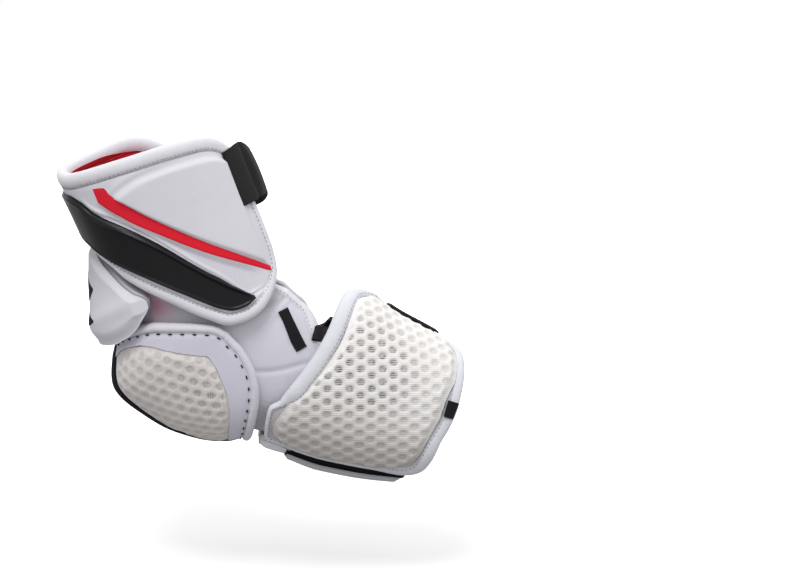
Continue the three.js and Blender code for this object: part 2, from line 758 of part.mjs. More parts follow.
// Forearm spine and the pad on the inner side
addWall("forearm_spine", blackFabric, {
  area: outline({
    rows: [
      { turn: 151, low: 0.256, high: 0.86 },
      { turn: 180, low: 0.262, high: 0.845 },
      { turn: 209, low: 0.256, high: 0.86 },
    ],
  }),
  inner: face(shellForm, 0),
  outer: face(shellForm, spineThickness),
  round: 6,
  long: 7,
});
addWall("forearm_spine_piping", greyFabric, {
  area: outline({
    rows: [
      { turn: 172, low: 0.266, high: 0.842 },
      { turn: 188, low: 0.266, high: 0.842 },
    ],
  }),
  inner: face(shellForm, spineThickness + layerGap),
  outer: face(shellForm, spineThickness + layerGap + pipingHeight),
  round: 3,
  long: 7,
});
const sideArea = outline({
  rows: [
    { turn: 210, low: 0.262, high: 0.88 },
    { turn: 228, low: 0.26, high: 0.92 },
    { turn: 250, low: 0.28, high: 0.94 },
    { turn: 275, low: 0.31, high: 0.94 },
    { turn: 300, low: 0.345, high: 0.92 },
    { turn: 322, low: 0.42, high: 0.88 },
  ],
  corners: { startHigh: 8, endLow: 18, endHigh: 22 },
  inset: shellRollWidth + layerGap,
});
const sidePad = {
  area: sideArea,
  inner: face(shellForm, 0),
  outer: face(shellForm, shellThickness),
  round: 12,
  long: 6,
};
addWall("forearm_side_pad", greyFabric, sidePad);
add("forearm_side_roll", whiteRoll, rollGeometry(sidePad, () => shellRollWidth));
addWall("forearm_lining", blackFabric, {
  area: outline({
    rows: [
      { turn: 3, low: 0.56, high: 0.83 },
      { turn: 20, low: 0.44, high: 0.91 },
      { turn: 60, low: 0.4, high: 0.92 },
      { turn: 89, low: 0.345, high: 0.91 },
      { turn: 119, low: 0.3, high: 0.885 },
      { turn: 150, low: 0.31, high: 0.83 },
      { turn: 180, low: 0.31, high: 0.82 },
      { turn: 210, low: 0.32, high: 0.83 },
      { turn: 250, low: 0.35, high: 0.87 },
      { turn: 285, low: 0.45, high: 0.87 },
      { turn: 310, low: 0.56, high: 0.82 },
    ],
  }),
  inner: face(shellForm, -looseGap - liningThickness),
  outer: face(shellForm, -looseGap),
  round: 14,
  long: 4,
});

// Forearm strap: from the mesh panel's front edge over the crook's side to the side pad
const foreStrapRise = [
  { turn: -60, lift: 0.5 },
  { turn: -38, lift: 1 },
  { turn: -7, lift: 1.3 },
  { turn: 2, lift: 1.7 },
];
addWall("forearm_strap", darkWebbing, {
  area: outline({
    rows: [
      { turn: -50, low: 0.59, high: 0.82 },
      { turn: 2, low: 0.61, high: 0.84 },
    ],
  }),
  inner: face(shellForm, strapLift(foreStrapRise, shellThickness + layerGap)),
  outer: face(shellForm, strapLift(foreStrapRise, shellThickness + layerGap + strapThickness)),
  round: 12,
  long: 3,
});
addWall("forearm_strap_tab", hookGrey, {
  area: outline({
    rows: [
      { turn: -66, low: 0.62, high: 0.76 },
      { turn: -57, low: 0.58, high: 0.8 },
      { turn: -34, low: 0.575, high: 0.815 },
    ],
  }),
  inner: face(shellForm, strapLift(foreStrapRise, shellThickness + 2 * layerGap + strapThickness)),
  outer: face(shellForm, strapLift(foreStrapRise, shellThickness + 2 * layerGap + strapThickness + tabThickness)),
  round: 5,
  long: 3,
});

// Elbow strap: a wide padded strap across the crook, under the shell's front edge
const elbowStrapDip = [
  { turn: -29, lift: 0 },
  { turn: 0, lift: -7 },
  { turn: 29, lift: 0 },
];
addWall("elbow_strap", darkWebbing, {
  area: ribbon([
    { turnA: 42, atA: 0.36, turnB: 38, atB: 0.62 },
    { turnA: 14, atA: 0.36, turnB: 12, atB: 0.61 },
    { turnA: -14, atA: 0.355, turnB: -16, atB: 0.59 },
    { turnA: -42, atA: 0.33, turnB: -46, atB: 0.525 },
    { turnA: -60, atA: 0.305, turnB: -63, atB: 0.49 },
    { turnA: -72, atA: 0.36, turnB: -74, atB: 0.43 },
  ]),
  inner: face(armForm, strapLift(elbowStrapDip, layerGap)),
  outer: face(armForm, strapLift(elbowStrapDip, layerGap + strapThickness)),
  round: 12,
  long: 3,
});
addWall("elbow_strap_tab", redPrint, {
  area: ribbon([
    { turnA: -52, atA: 0.345, turnB: -54, atB: 0.475 },
    { turnA: -60, atA: 0.36, turnB: -62, atB: 0.455 },
    { turnA: -68, atA: 0.385, turnB: -69, atB: 0.415 },
  ]),
  inner: face(armForm, 2 * layerGap + strapThickness),
  outer: face(armForm, 2 * layerGap + strapThickness + tagThickness),
  round: 3,
  long: 2,
});

export default pad;
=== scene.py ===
import bpy
import math
import numpy as np
from mathutils import Matrix


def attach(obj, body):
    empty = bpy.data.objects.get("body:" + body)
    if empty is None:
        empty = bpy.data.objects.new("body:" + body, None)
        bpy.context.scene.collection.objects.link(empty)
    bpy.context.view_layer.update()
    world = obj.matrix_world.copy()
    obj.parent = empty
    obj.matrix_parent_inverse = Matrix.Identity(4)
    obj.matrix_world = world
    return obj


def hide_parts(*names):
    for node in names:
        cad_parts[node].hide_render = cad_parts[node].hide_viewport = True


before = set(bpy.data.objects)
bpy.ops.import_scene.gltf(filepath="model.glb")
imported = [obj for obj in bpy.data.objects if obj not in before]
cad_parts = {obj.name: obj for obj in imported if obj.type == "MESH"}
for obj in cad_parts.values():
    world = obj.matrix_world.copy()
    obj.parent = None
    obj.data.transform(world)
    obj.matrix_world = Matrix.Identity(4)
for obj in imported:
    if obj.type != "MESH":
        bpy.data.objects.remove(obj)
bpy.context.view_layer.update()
mm = 0.001
print("frame loaded")

# the arm that the pad is worn on, in millimetres, as in the part's source
arm = {
    "lean": 20.0, "drop": 16.0, "bendRadius": 102.0,   # degrees, degrees, mm
    "upperReach": 166.0, "foreReach": 168.0,           # middle of the bend to each rim
    "front": 61.0, "back": 65.0, "side": 46.0, "squareness": 2.4,
    "sewnGap": 0.35, "looseGap": 1.1, "lining": 2.0,
    "rows": [  # at, front, back, side, as shares
        (-1.0, 0.72, 0.71, 0.95), (-0.66, 0.72, 0.71, 0.95), (-0.36, 0.75, 0.75, 0.98),
        (-0.24, 0.79, 0.84, 0.99), (-0.13, 0.88, 0.99, 1.0), (0.0, 1.0, 0.94, 1.0),
        (0.1, 0.99, 0.83, 0.99), (0.16, 0.97, 0.75, 0.98), (0.21, 0.95, 0.69, 0.96),
        (0.29, 0.89, 0.665, 0.935), (0.36, 0.85, 0.66, 0.92), (0.6, 0.76, 0.63, 0.87),
        (1.0, 0.62, 0.53, 0.75)],
}


def read(rows, column, x):  # one column of a table at x, smooth and without overshoot
    table = np.array(rows, float)
    keys, values = table[:, 0], table[:, column]
    gaps = np.diff(keys)
    rise = np.diff(values) / gaps
    slope = np.zeros(len(keys))
    slope[0], slope[-1] = rise[0], rise[-1]
    for k in range(1, len(keys) - 1):
        both = rise[k - 1] * rise[k]
        slope[k] = 2 * both / (rise[k - 1] + rise[k]) if both > 0 else 0
    x = np.clip(np.asarray(x, float), keys[0], keys[-1])
    i = np.clip(np.searchsorted(keys, x, side="right") - 1, 0, len(keys) - 2)
    s = (x - keys[i]) / gaps[i]
    start = values[i] * (1 + 2 * s) * (1 - s) ** 2 + slope[i] * gaps[i] * s * (1 - s) ** 2
    return start + values[i + 1] * s * s * (3 - 2 * s) + slope[i + 1] * gaps[i] * s * s * (s - 1)


def smooth(x):  # 0 below 0, 1 above 1, eased between
    x = np.clip(x, 0, 1)
    return x * x * (3 - 2 * x)


def within(x, start, rise, end, fall):  # 1 between the two, eased in and out
    return smooth((x - start) / rise) * smooth((end - x) / fall)


def hill(x, width):  # 1 at 0, falling off over a width
    return np.exp(-(x / width) ** 2)


def mirrored(rows):  # the rows of the outer side, repeated on the inner side
    return list(rows) + [(360 - row[0],) + tuple(row[1:]) for row in reversed(rows) if row[0] < 180]


def along(share):  # millimetres along the arm, from the middle of the bend
    share = np.asarray(share, float)
    return share * np.where(share < 0, arm["upperReach"], arm["foreReach"])


def shareOf(at):
    at = np.asarray(at, float)
    return at / np.where(at < 0, arm["upperReach"], arm["foreReach"])


halfBend = (90 - arm["drop"] - arm["lean"]) / 2
crookMiddle = (arm["lean"] + 90 - arm["drop"]) / 2
halfArc = arm["bendRadius"] * math.radians(halfBend)
crookCentre = arm["bendRadius"] / math.cos(math.radians(halfBend))


def inPlane(angle):
    angle = np.radians(angle)
    return np.stack([np.cos(angle), 0 * angle, np.sin(angle)], -1)


def axisAt(at):  # a point of the arm's bent axis, and the way to the crook
    at = np.asarray(at, float)
    bent = np.clip(at, -halfArc, halfArc)
    angle = crookMiddle + np.degrees(bent / arm["bendRadius"])
    crook = inPlane(angle)
    centre = inPlane(np.array(crookMiddle)) * crookCentre
    return centre - crook * arm["bendRadius"] + inPlane(angle - 90) * (at - bent)[..., None], crook


def skin(form, at, turn, height):  # a point over the arm, turn in degrees from the crook
    at, turn = np.broadcast_arrays(np.asarray(at, float), np.asarray(turn, float))
    share = shareOf(at)
    front, back, side = form(share)
    c, s = np.cos(np.radians(turn)), np.sin(np.radians(turn))
    depth = np.where(c > 0, arm["front"] * read(arm["rows"], 1, share) + front,
                     arm["back"] * read(arm["rows"], 2, share) + back) + height
    width = arm["side"] * read(arm["rows"], 3, share) + side + height
    n = arm["squareness"]
    radius = (np.abs(c / depth) ** n + np.abs(s / width) ** n) ** (-1 / n)
    point, crook = axisAt(at)
    return point + crook * (radius * c)[..., None] + np.array([0, -1.0, 0]) * (radius * s)[..., None]


def armForm(share):
    return (0 * share,) * 3


def shaped(base, size, rows):  # how far a layer stands off the arm in front, behind and at the sides
    return lambda share: tuple(base + size * read(rows, column, share) for column in (1, 2, 3))


liningRoom = arm["lining"] + 2 * arm["looseGap"]
guardForm = shaped(liningRoom, 10, [
    (-1.0, 0.6, 0.85, 0.15), (-0.91, 0.64, 0.62, 0.12), (-0.84, 0.68, 0.42, 0.08), (-0.62, 0.84, 0.16, 0.02),
    (-0.49, 0.94, 0.1, 0.0), (-0.27, 0.7, 0.1, 0.0), (-0.12, 0.2, 0.0, 0.0)])
shellForm = shaped(liningRoom, 16, [
    (0.25, 0.14, 0.0, 0.0), (0.36, 0.62, 0.14, 0.02), (0.51, 0.82, 0.34, 0.03), (0.65, 0.54, 0.33, 0.02),
    (0.83, 0.36, 0.22, 0.0), (1.0, 0.04, 0.0, 0.0)])
capForm = shaped(arm["looseGap"], 19, [
    (-0.26, 0.3, 0.5, 0.36), (-0.2, 0.35, 0.72, 0.4), (-0.12, 0.38, 1.0, 0.42), (-0.04, 0.4, 0.86, 0.42),
    (0.05, 0.4, 0.74, 0.42), (0.11, 0.38, 0.68, 0.42), (0.17, 0.36, 0.54, 0.4), (0.21, 0.3, 0.34, 0.36),
    (0.25, 0.28, 0.24, 0.3)])
wedgeForm = shaped(arm["looseGap"], 27, [
    (-0.6, 0.3, 0.54, 0.34), (-0.45, 0.4, 0.82, 0.48), (-0.3, 0.4, 0.98, 0.57), (-0.2, 0.4, 0.95, 0.57)])


# areas: u runs round the arm or along the piece, v across it
mmPerDegree = arm["side"] * math.radians(1)


class Outline:
    def __init__(self, rows, corners=None, inset=0.0, insetLow=None):
        self.rows, self.corners, self.inset = rows, corners or {}, inset
        self.insetLow = inset if insetLow is None else insetLow
        self.start = rows[0][0] + inset / mmPerDegree
        self.end = rows[-1][0] - inset / mmPerDegree

    def cut(self, corner, distance):
        radius = self.corners.get(corner, 0)
        if not radius:
            return 0 * distance
        reach = radius - np.clip(distance, 0, radius)
        return radius - np.sqrt(radius ** 2 - reach ** 2)

    def edges(self, turn):
        fromStart, toEnd = (turn - self.start) * mmPerDegree, (self.end - turn) * mmPerDegree
        low = along(read(self.rows, 1, turn)) + self.insetLow
        high = along(read(self.rows, 2, turn)) - self.inset
        low = low + self.cut("startLow", fromStart) + self.cut("endLow", toEnd)
        high = high - self.cut("startHigh", fromStart) - self.cut("endHigh", toEnd)
        return low, high, np.minimum(fromStart, toEnd)

    def place(self, u, v):
        turn = self.start + (self.end - self.start) * u
        low, high, _ = self.edges(turn)
        return low + (high - low) * v, turn

    def inside(self, at, turn):
        low, high, sides = self.edges(turn)
        return np.minimum(np.minimum(at - low, high - at), sides)


class Ribbon:  # a band that may turn back on itself
    def __init__(self, rows):  # turnA, atA, turnB, atB
        placed = [(a, float(along(b)), c, float(along(d))) for a, b, c, d in rows]
        table, length = [], 0.0
        for i, row in enumerate(placed):
            if i:
                before = placed[i - 1]
                run = (row[1] + row[3] - before[1] - before[3]) / 2
                sweep = (row[0] + row[2] - before[0] - before[2]) / 2 * mmPerDegree
                length += math.hypot(run, sweep)
            table.append((length,) + row)
        self.table, self.length = table, length

    def place(self, u, v):
        turnA, atA, turnB, atB = (read(self.table, c, u * self.length) for c in (1, 2, 3, 4))
        return atA + (atB - atA) * v, turnA + (turnB - turnA) * v


# meshes
shoulder = 0.22          # of a wall's thickness, to where its rounded edge starts
rollSquareness = 2.3
rollPucker = 0.012       # how unevenly a sewn roll is filled
endCrowding = 0.4        # rows lie closer together towards an edge


def steps(count):
    i = np.arange(count + 1) / count
    return i + (0.5 - 0.5 * np.cos(math.pi * i) - i) * endCrowding


def meshOf(name, points, quads, cloth, extra=None):  # points in mm, cloth is each point's place in mm
    mesh = bpy.data.meshes.new(name)
    mesh.from_pydata((points * mm).tolist(), [], quads.tolist())
    corners = np.empty(len(mesh.loops), dtype=np.int32)
    mesh.loops.foreach_get("vertex_index", corners)
    layer = mesh.uv_layers.new(name="cloth")
    layer.data.foreach_set("uv", cloth[corners].astype(np.float32).ravel())
    for key, values in (extra or {}).items():
        attribute = mesh.attributes.new(key, "FLOAT", "POINT")
        attribute.data.foreach_set("value", np.asarray(values, np.float32))
    mesh.shade_smooth()
    obj = bpy.data.objects.new(name, mesh)
    bpy.context.scene.collection.objects.link(obj)
    return obj


def outwards(points, quads):  # True if the closed surface faces out
    a, b, c, d = (points[quads[:, k]] for k in range(4))
    return (np.einsum("ij,ij->i", a, np.cross(b, c)) + np.einsum("ij,ij->i", a, np.cross(c, d))).sum() > 0


def rimOf(round, long):  # the numbers of a grid's outer points, once round
    cell = np.arange((round + 1) * (long + 1)).reshape(round + 1, long + 1)
    return np.concatenate([cell[:-1, 0], cell[-1, :-1], cell[:0:-1, -1], cell[0, :0:-1]])


def measured(form, lift, turn0, at0, count=14):  # a surface's own millimetres, from one of its places
    def place(at, turn):
        shares = np.linspace(0, 1, count + 1)[:, None]
        roundIt = skin(form, at + 0 * shares, turn0 + (turn - turn0) * shares, lift)
        downIt = skin(form, at0 + (at - at0) * shares, turn + 0 * shares, lift)
        x = np.linalg.norm(np.diff(roundIt, axis=0), axis=-1).sum(0) * np.sign(turn - turn0)
        y = np.linalg.norm(np.diff(downIt, axis=0), axis=-1).sum(0) * np.sign(at - at0)
        return np.stack([x, y], -1)
    return place


def solid(name, low, high, round, long, cloth, extra=None, edge=0.6):  # extra: attributes by name
    # closed between two grids of points, with its edges rounded over in two loops
    count = len(low)
    cell = np.arange(count).reshape(round + 1, long + 1)
    quad = np.stack([cell[:-1, :-1], cell[:-1, 1:], cell[1:, 1:], cell[1:, :-1]], -1).reshape(-1, 4)
    rim = rimOf(round, long)
    middle = (low[rim] + high[rim]) / 2
    tangent = np.roll(middle, -1, 0) - np.roll(middle, 1, 0)
    tangent /= np.linalg.norm(tangent, axis=1, keepdims=True) + 1e-9
    up = high[rim] - low[rim]
    push = np.cross(tangent, up)
    push *= edge * 0.5 / (np.linalg.norm(push, axis=1, keepdims=True) + 1e-9)
    points = np.concatenate([low, high, high[rim] - up * shoulder + push, low[rim] + up * shoulder + push])
    n = len(rim)
    a = np.arange(n)
    b = (a + 1) % n
    first, second = 2 * count + a, 2 * count + n + a
    firstB, secondB = 2 * count + b, 2 * count + n + b
    sides = [np.stack([rim[a] + count, rim[b] + count, firstB, first], -1),
             np.stack([first, firstB, secondB, second], -1),
             np.stack([second, secondB, rim[b], rim[a]], -1)]
    quads = np.concatenate([quad, quad[:, ::-1] + count] + sides)
    cloth = np.concatenate([cloth, cloth, cloth[rim], cloth[rim]])
    spread = {k: np.concatenate([v, v, v[rim], v[rim]]) for k, v in (extra or {}).items()}
    if not outwards(points, quads):
        quads = quads[:, ::-1]
    return meshOf(name, points, quads, cloth, spread)


def wall(name, area, inner, outer, round, long, extra=None, edge=0.6, cloth=None, crown=None):
    u, v = np.meshgrid(steps(round), steps(long), indexing="ij")
    at, turn = (x.ravel() for x in area.place(u, v))
    low, high = inner(at, turn), outer(at, turn)
    if crown:  # a height over the piece's own length and width
        up = high - low
        high = high + up / np.linalg.norm(up, axis=1, keepdims=True) * crown(u.ravel(), v.ravel())[:, None]
    place = cloth(at, turn) if cloth else np.stack([turn * mmPerDegree, at], -1)
    spread = {k: f(at, turn) for k, f in (extra or {}).items()}
    return solid(name, low, high, round, long, place, spread, edge)


def face(form, lift, area=None, fall=0.0, width=8.0, relief=None):
    def surface(at, turn):
        height = lift(at, turn) if callable(lift) else lift + 0 * at
        if area is not None and fall:
            height = height - fall * (1 - smooth(area.inside(at, turn) / width))
        if relief is not None:
            height = height + relief(at, turn)
        return skin(form, at, turn, height)
    return surface


def rimFrames(area, inner, outer, round, long, widthAt, proud=0.6, gap=-0.5):
    # the middle, the ways out and up and the half sizes of an edge roll, along a wall's rim
    us, vs = steps(round), steps(long)
    u, v = np.meshgrid(us, vs, indexing="ij")
    rim = rimOf(round, long)
    at, turn = area.place(u.ravel()[rim], v.ravel()[rim])
    low, high = inner(at, turn), outer(at, turn)
    middle = (low + high) / 2
    tangent = np.roll(middle, -1, 0) - np.roll(middle, 1, 0)
    for _ in range(3):  # corners turn softly
        tangent = (np.roll(tangent, 1, 0) + 2 * tangent + np.roll(tangent, -1, 0)) / 4
    tangent /= np.linalg.norm(tangent, axis=1, keepdims=True)
    up = high - low
    thick = np.linalg.norm(up, axis=1)
    up /= thick[:, None]
    out = np.cross(tangent, up)
    out /= np.linalg.norm(out, axis=1, keepdims=True)

    def eased(value):
        value = value(turn, v.ravel()[rim]) if callable(value) else value + 0 * turn
        for _ in range(4):
            value = (np.roll(value, 1) + 2 * value + np.roll(value, -1)) / 4
        return value

    halfWidth, proud = eased(widthAt) / 2, eased(proud)
    centre = middle + out * (halfWidth + eased(gap))[:, None] + up * (proud / 2)[:, None]
    length = np.concatenate([[0], np.cumsum(np.linalg.norm(np.diff(centre, axis=0), axis=1))])
    return {"centre": centre, "out": out, "up": up, "halfWidth": halfWidth, "halfHeight": (thick + proud) / 2,
            "length": length}


def ring(frames, angle, over=0.0):  # one line along an edge roll, at an angle from its outside
    c, s = np.cos(angle), np.sin(angle)
    reach = (np.abs(c) ** rollSquareness + np.abs(s) ** rollSquareness) ** (-1 / rollSquareness)
    across = (frames["halfWidth"] + over) * c * reach
    height = (frames["halfHeight"] + over) * s * reach
    return frames["centre"] + frames["out"] * across[:, None] + frames["up"] * height[:, None]


def roll(name, frames, sides=16):  # a closed, slightly puckered tube along a wall's rim
    n = len(frames["centre"])
    t = frames["length"]
    wave = np.sin(t * 1.9) * 0.5 + np.sin(t * 0.83 + 1.3) + 0.7 * np.sin(t * 3.3 + 0.4)
    lines = []
    for k in range(sides):
        angle = 2 * math.pi * k / sides
        inward = max(0.0, -math.cos(angle)) * max(0.0, math.sin(angle))
        scale = (1 + rollPucker * wave * (0.4 + 2.2 * inward))[:, None]
        centre = frames["centre"]
        lines.append(centre + (ring(frames, angle) - centre) * scale)
    points = np.stack(lines, 1).reshape(-1, 3)
    i, k = np.meshgrid(np.arange(n), np.arange(sides), indexing="ij")
    here, there = i * sides + k, ((i + 1) % n) * sides + k
    hereNext, thereNext = i * sides + (k + 1) % sides, ((i + 1) % n) * sides + (k + 1) % sides
    quads = np.stack([here, there, thereNext, hereNext], -1).reshape(-1, 4)
    if not outwards(points, quads):
        quads = quads[:, ::-1]
    girth = float(np.mean(frames["halfWidth"] + frames["halfHeight"])) * math.pi
    cloth = np.stack([np.repeat(t, sides), np.tile(np.arange(sides) / sides * girth, n)], -1)
    return meshOf(name, points, quads, cloth)


# nodes
class Wire:  # a socket in an expression
    def __init__(self, nodes, socket):
        self.nodes, self.socket = nodes, socket

    def maths(self, operation, other=None, swapped=False):
        pair = (other, self) if swapped else (self, other)
        values = {i: value for i, value in enumerate(pair) if value is not None}
        return self.nodes.wire("ShaderNodeMath", {"operation": operation}, values)

    def __add__(self, other):
        return self.maths("ADD", other)

    def __sub__(self, other):
        return self.maths("SUBTRACT", other)

    def __rsub__(self, other):
        return self.maths("SUBTRACT", other, True)

    def __mul__(self, other):
        return self.maths("MULTIPLY", other)

    def __truediv__(self, other):
        return self.maths("DIVIDE", other)

    def __rtruediv__(self, other):
        return self.maths("DIVIDE", other, True)

    __radd__, __rmul__ = __add__, __mul__

    def cos(self):
        return self.maths("COSINE")

    def clamp(self):
        return self.maths("MINIMUM", 1.0).maths("MAXIMUM", 0.0)

    def above(self, edge, soft):  # 0 to 1 across a soft edge
        return ((self - edge) / soft + 0.5).clamp()

    def wave(self, pitch):  # -1 to 1
        return (self * (2 * math.pi / pitch)).maths("SINE")

    def stripes(self, pitch):  # 0 to 1
        return self.wave(pitch) * 0.5 + 0.5


class Nodes:  # a node tree, and the one way that a node comes into it
    def __init__(self, tree):
        self.tree = tree

    def feed(self, node, values):  # values or links, by socket
        for key, value in values.items():
            if isinstance(value, Wire):
                self.tree.links.new(value.socket, node.inputs[key])
            else:
                node.inputs[key].default_value = value

    def node(self, kind, settings=None, values=None):
        node = self.tree.nodes.new(kind)
        for key, value in (settings or {}).items():
            setattr(node, key, value)
        self.feed(node, values or {})
        return node

    def wire(self, kind, settings=None, values=None, output=0):
        return Wire(self, self.node(kind, settings, values).outputs[output])


class Finish(Nodes):  # a material with one Principled shader
    def __init__(self, name, roughness, gloss, sheen=0.0, sheenRoughness=0.5):
        self.material = bpy.data.materials.new(name)
        self.material.use_nodes = True
        super().__init__(self.material.node_tree)
        self.shader = next(n for n in self.tree.nodes if n.type == "BSDF_PRINCIPLED")
        self.feed(self.shader, {"Roughness": roughness, "Specular IOR Level": gloss, "Sheen Weight": sheen,
                                "Sheen Roughness": sheenRoughness})

    def place(self):  # the piece's own place in millimetres: round it and along it
        split = self.node("ShaderNodeSeparateXYZ", None,
                          {"Vector": self.wire("ShaderNodeUVMap", {"uv_map": "cloth"})})
        return Wire(self, split.outputs[0]), Wire(self, split.outputs[1])

    def attribute(self, name):
        return self.wire("ShaderNodeAttribute", {"attribute_name": name}, None, "Fac")

    def noise(self, size, detail=3.0, rough=0.55):  # size in mm
        spot = self.wire("ShaderNodeTexCoord", None, None, "Object")
        values = {"Vector": spot, "Scale": 1 / mm / size, "Detail": detail, "Roughness": rough}
        return self.wire("ShaderNodeTexNoise", None, values, "Fac")

    def mix(self, amount, first, second):  # wires or plain tones
        tones = [(*tone, 1) if isinstance(tone, tuple) else tone for tone in (first, second)]
        return self.wire("ShaderNodeMix", {"data_type": "RGBA"}, {0: amount, 6: tones[0], 7: tones[1]}, 2)

    def done(self, colour, roughness, height, depth):  # depth in mm
        values = {"Height": height, "Distance": depth * mm, "Strength": 1.0}
        normal = self.wire("ShaderNodeBump", None, values)
        self.feed(self.shader, {"Base Color": colour, "Roughness": roughness, "Normal": normal})
        return self.material


def darker(tone, share):
    return tuple(part * share for part in tone)


# finishes, with their pitches and depths in millimetres
def plainCloth(name, tone, dark, pitch, depth, roughness=0.85, twill=True, sheen=0.1, cloud=0.05):
    f = Finish(name, roughness, 0.15, sheen)
    x, y = f.place()
    weave = (x + y if twill else x).stripes(pitch)
    cross = (x - y * 0.35).stripes(pitch * 0.6) if twill else y.stripes(pitch)
    thread = weave * 0.65 + cross * 0.35
    soft = f.noise(9.0)
    shade = thread * (1 - dark) + dark - cloud + (soft - 0.5) * (4 * cloud)
    return f.done(f.mix(shade.clamp(), darker(tone, 0.75), tone), soft * 0.12 + (roughness - 0.06),
                  thread + f.noise(1.2, 2.0) * 0.35, depth)


def sleeveCloth(name, tone, painted_red_bounce):  # plain weave, with painted shade under the guard and painted red bounce light from the lining beside the wedge
    f = Finish(name, 0.85, 0.15, 0.1)
    x, y = f.place()
    thread = x.stripes(0.9) * 0.6 + y.stripes(0.9) * 0.4
    soft = f.noise(11.0)
    colour = f.mix((thread * 0.14 + soft * 0.3 + 0.6).clamp(), darker(tone, 0.8), tone)
    # painted shade under the guard's edge
    colour = f.mix(f.attribute("painted_shade"), colour, darker(tone, 0.6))
    # painted red bounce light from the lining, with shade, beside the wedge
    colour = f.mix(f.attribute("painted_red_bounce").clamp(), colour, painted_red_bounce)
    return f.done(colour, soft * 0.12 + 0.79, thread + f.noise(1.2, 2.0) * 0.4 + soft * 2.0, 0.09)


def bindingCloth(name, tone):
    f = Finish(name, 0.68, 0.25, 0.15, 0.4)
    ribs = f.place()[0].stripes(0.8)
    soft, pull = f.noise(7.0, 4.0), f.noise(2.6)
    colour = f.mix((ribs * 0.14 + soft * 0.4 + pull * 0.2 + 0.4).clamp(), darker(tone, 0.84), tone)
    return f.done(colour, soft * 0.15 + 0.58, ribs * 0.3 + pull * 1.1 + soft * 1.4, 0.2)


def honeycombCloth(name, ridge, shade, deep, paintedShadeTone, tilt, least):
    # "dimple" comes from the nodes that press the hollows, "open" says how far threads part, "low" is painted
    # shade
    f = Finish(name, 0.88, 0.12, 0.1)
    x, y = f.place()
    dimple, openness, low = f.attribute("dimple"), f.attribute("open"), f.attribute("low")
    across = x * math.cos(tilt) + y * math.sin(tilt)
    rows = (across + f.noise(5.0, 2.0)).stripes(1.5)   # threads that bridge each hollow
    knit = x.wave(0.85) * y.wave(0.85) * 0.5 + 0.5
    broken = f.noise(2.6, 2.0).above(0.46, 0.25)
    hollow, well = dimple.above(0.42, 0.7), dimple.above(0.72, 0.36)
    strands = well * rows.above(0.5, 0.45) * broken * openness
    soft = f.noise(24.0)
    uneven = f.noise(4.5).above(0.5, 0.5)
    threads = rows.above(0.55, 0.6) * (1 - well) * uneven
    # the hollows are painted darker: painted shade in the recesses, deeper where they gape and where it turns
    # under
    colour = f.mix((hollow * (openness * 0.34 + soft * 0.3 + low * 0.4 + least)).clamp(), ridge, shade)
    colour = f.mix((well * openness * 0.3).clamp(), colour, darker(shade, 0.6))
    colour = f.mix((strands * 0.9).clamp(), colour, deep)
    colour = f.mix((threads * 0.34 + knit * 0.10).clamp(), colour, darker(ridge, 0.72))
    colour = f.mix(((1 - rows) * uneven * hollow * 0.35).clamp(), colour, ridge)
    # painted shade where the panel turns under
    colour = f.mix((low * 0.72).clamp(), colour, paintedShadeTone)
    return f.done(colour, dimple * 0.12 + 0.8, knit * 0.5 - strands * 0.9 + rows * 0.55 + uneven * 0.3, 0.26)


def knitCloth(name, tone, gap):
    f = Finish(name, 0.88, 0.12, 0.1)
    x, y = f.place()
    hatch, cross = (x * 0.8 + y).stripes(1.15), (x - y).stripes(2.645)
    net = (hatch * 0.75 + cross * 0.3).above(0.62, 0.4)
    soft = f.noise(8.0)
    colour = f.mix((net * 0.8 + (soft - 0.5) * 0.5).clamp(), tone, gap)
    return f.done(colour, soft * 0.1 + 0.8, 1 - net, 0.22)


def mouldedRubber(name, first, second):
    f = Finish(name, 0.34, 0.22)
    soft = f.noise(14.0, 4.0)
    return f.done(f.mix(soft, first, second), soft * 0.16 + 0.22, f.noise(0.8, 2.0) * 0.5 + soft, 0.06)


def mouldedFoam(name, tone, gloss):
    f = Finish(name, 0.6, gloss)
    soft = f.noise(18.0, 4.0)
    # the attribute darkens it as painted shade
    colour = f.mix(f.attribute("painted_shade"), f.mix(soft, darker(tone, 0.93), tone), darker(tone, 0.55))
    return f.done(colour, soft * 0.15 + 0.52, f.noise(1.1) * 0.5 + soft * 1.2, 0.1)


def webbing(name, tone):
    f = Finish(name, 0.75, 0.2)
    x, y = f.place()
    rib = y.stripes(1.5)
    strand = (x + y.wave(1.5) * 0.127).stripes(1.0)
    soft = f.noise(10.0)
    colour = f.mix((rib * 0.4 + strand * 0.2 + soft * 0.4).clamp(), darker(tone, 0.6), tone)
    return f.done(colour, soft * 0.15 + 0.65, rib + strand * 0.4, 0.17)


def loopPile(name, tone):
    f = Finish(name, 0.95, 0.1, 0.2)
    fuzz, soft = f.noise(1.3, 5.0, 0.75), f.noise(9.0)
    colour = f.mix((fuzz * 0.9 + soft * 0.4).clamp(), darker(tone, 0.6), tone)
    return f.done(colour, soft * 0.1 + 0.88, fuzz, 0.8)


def hookTape(name, tone, edge, corner):  # "frame" is its dark edging and "corner" its red corner
    f = Finish(name, 0.75, 0.2)
    x, y = f.place()
    hooks = x.stripes(1.7) * 0.7 + y.stripes(1.3) * 0.3
    soft = f.noise(6.0)
    colour = f.mix((hooks * 0.8 + soft * 0.2).clamp(), darker(tone, 0.35), tone)
    colour = f.mix(f.attribute("corner").above(0.5, 0.1), colour, corner)
    colour = f.mix(f.attribute("frame").above(0.5, 0.15), colour, edge)
    return f.done(colour, soft * 0.2 + 0.62, hooks * (1 - f.attribute("frame").clamp()), 0.4)


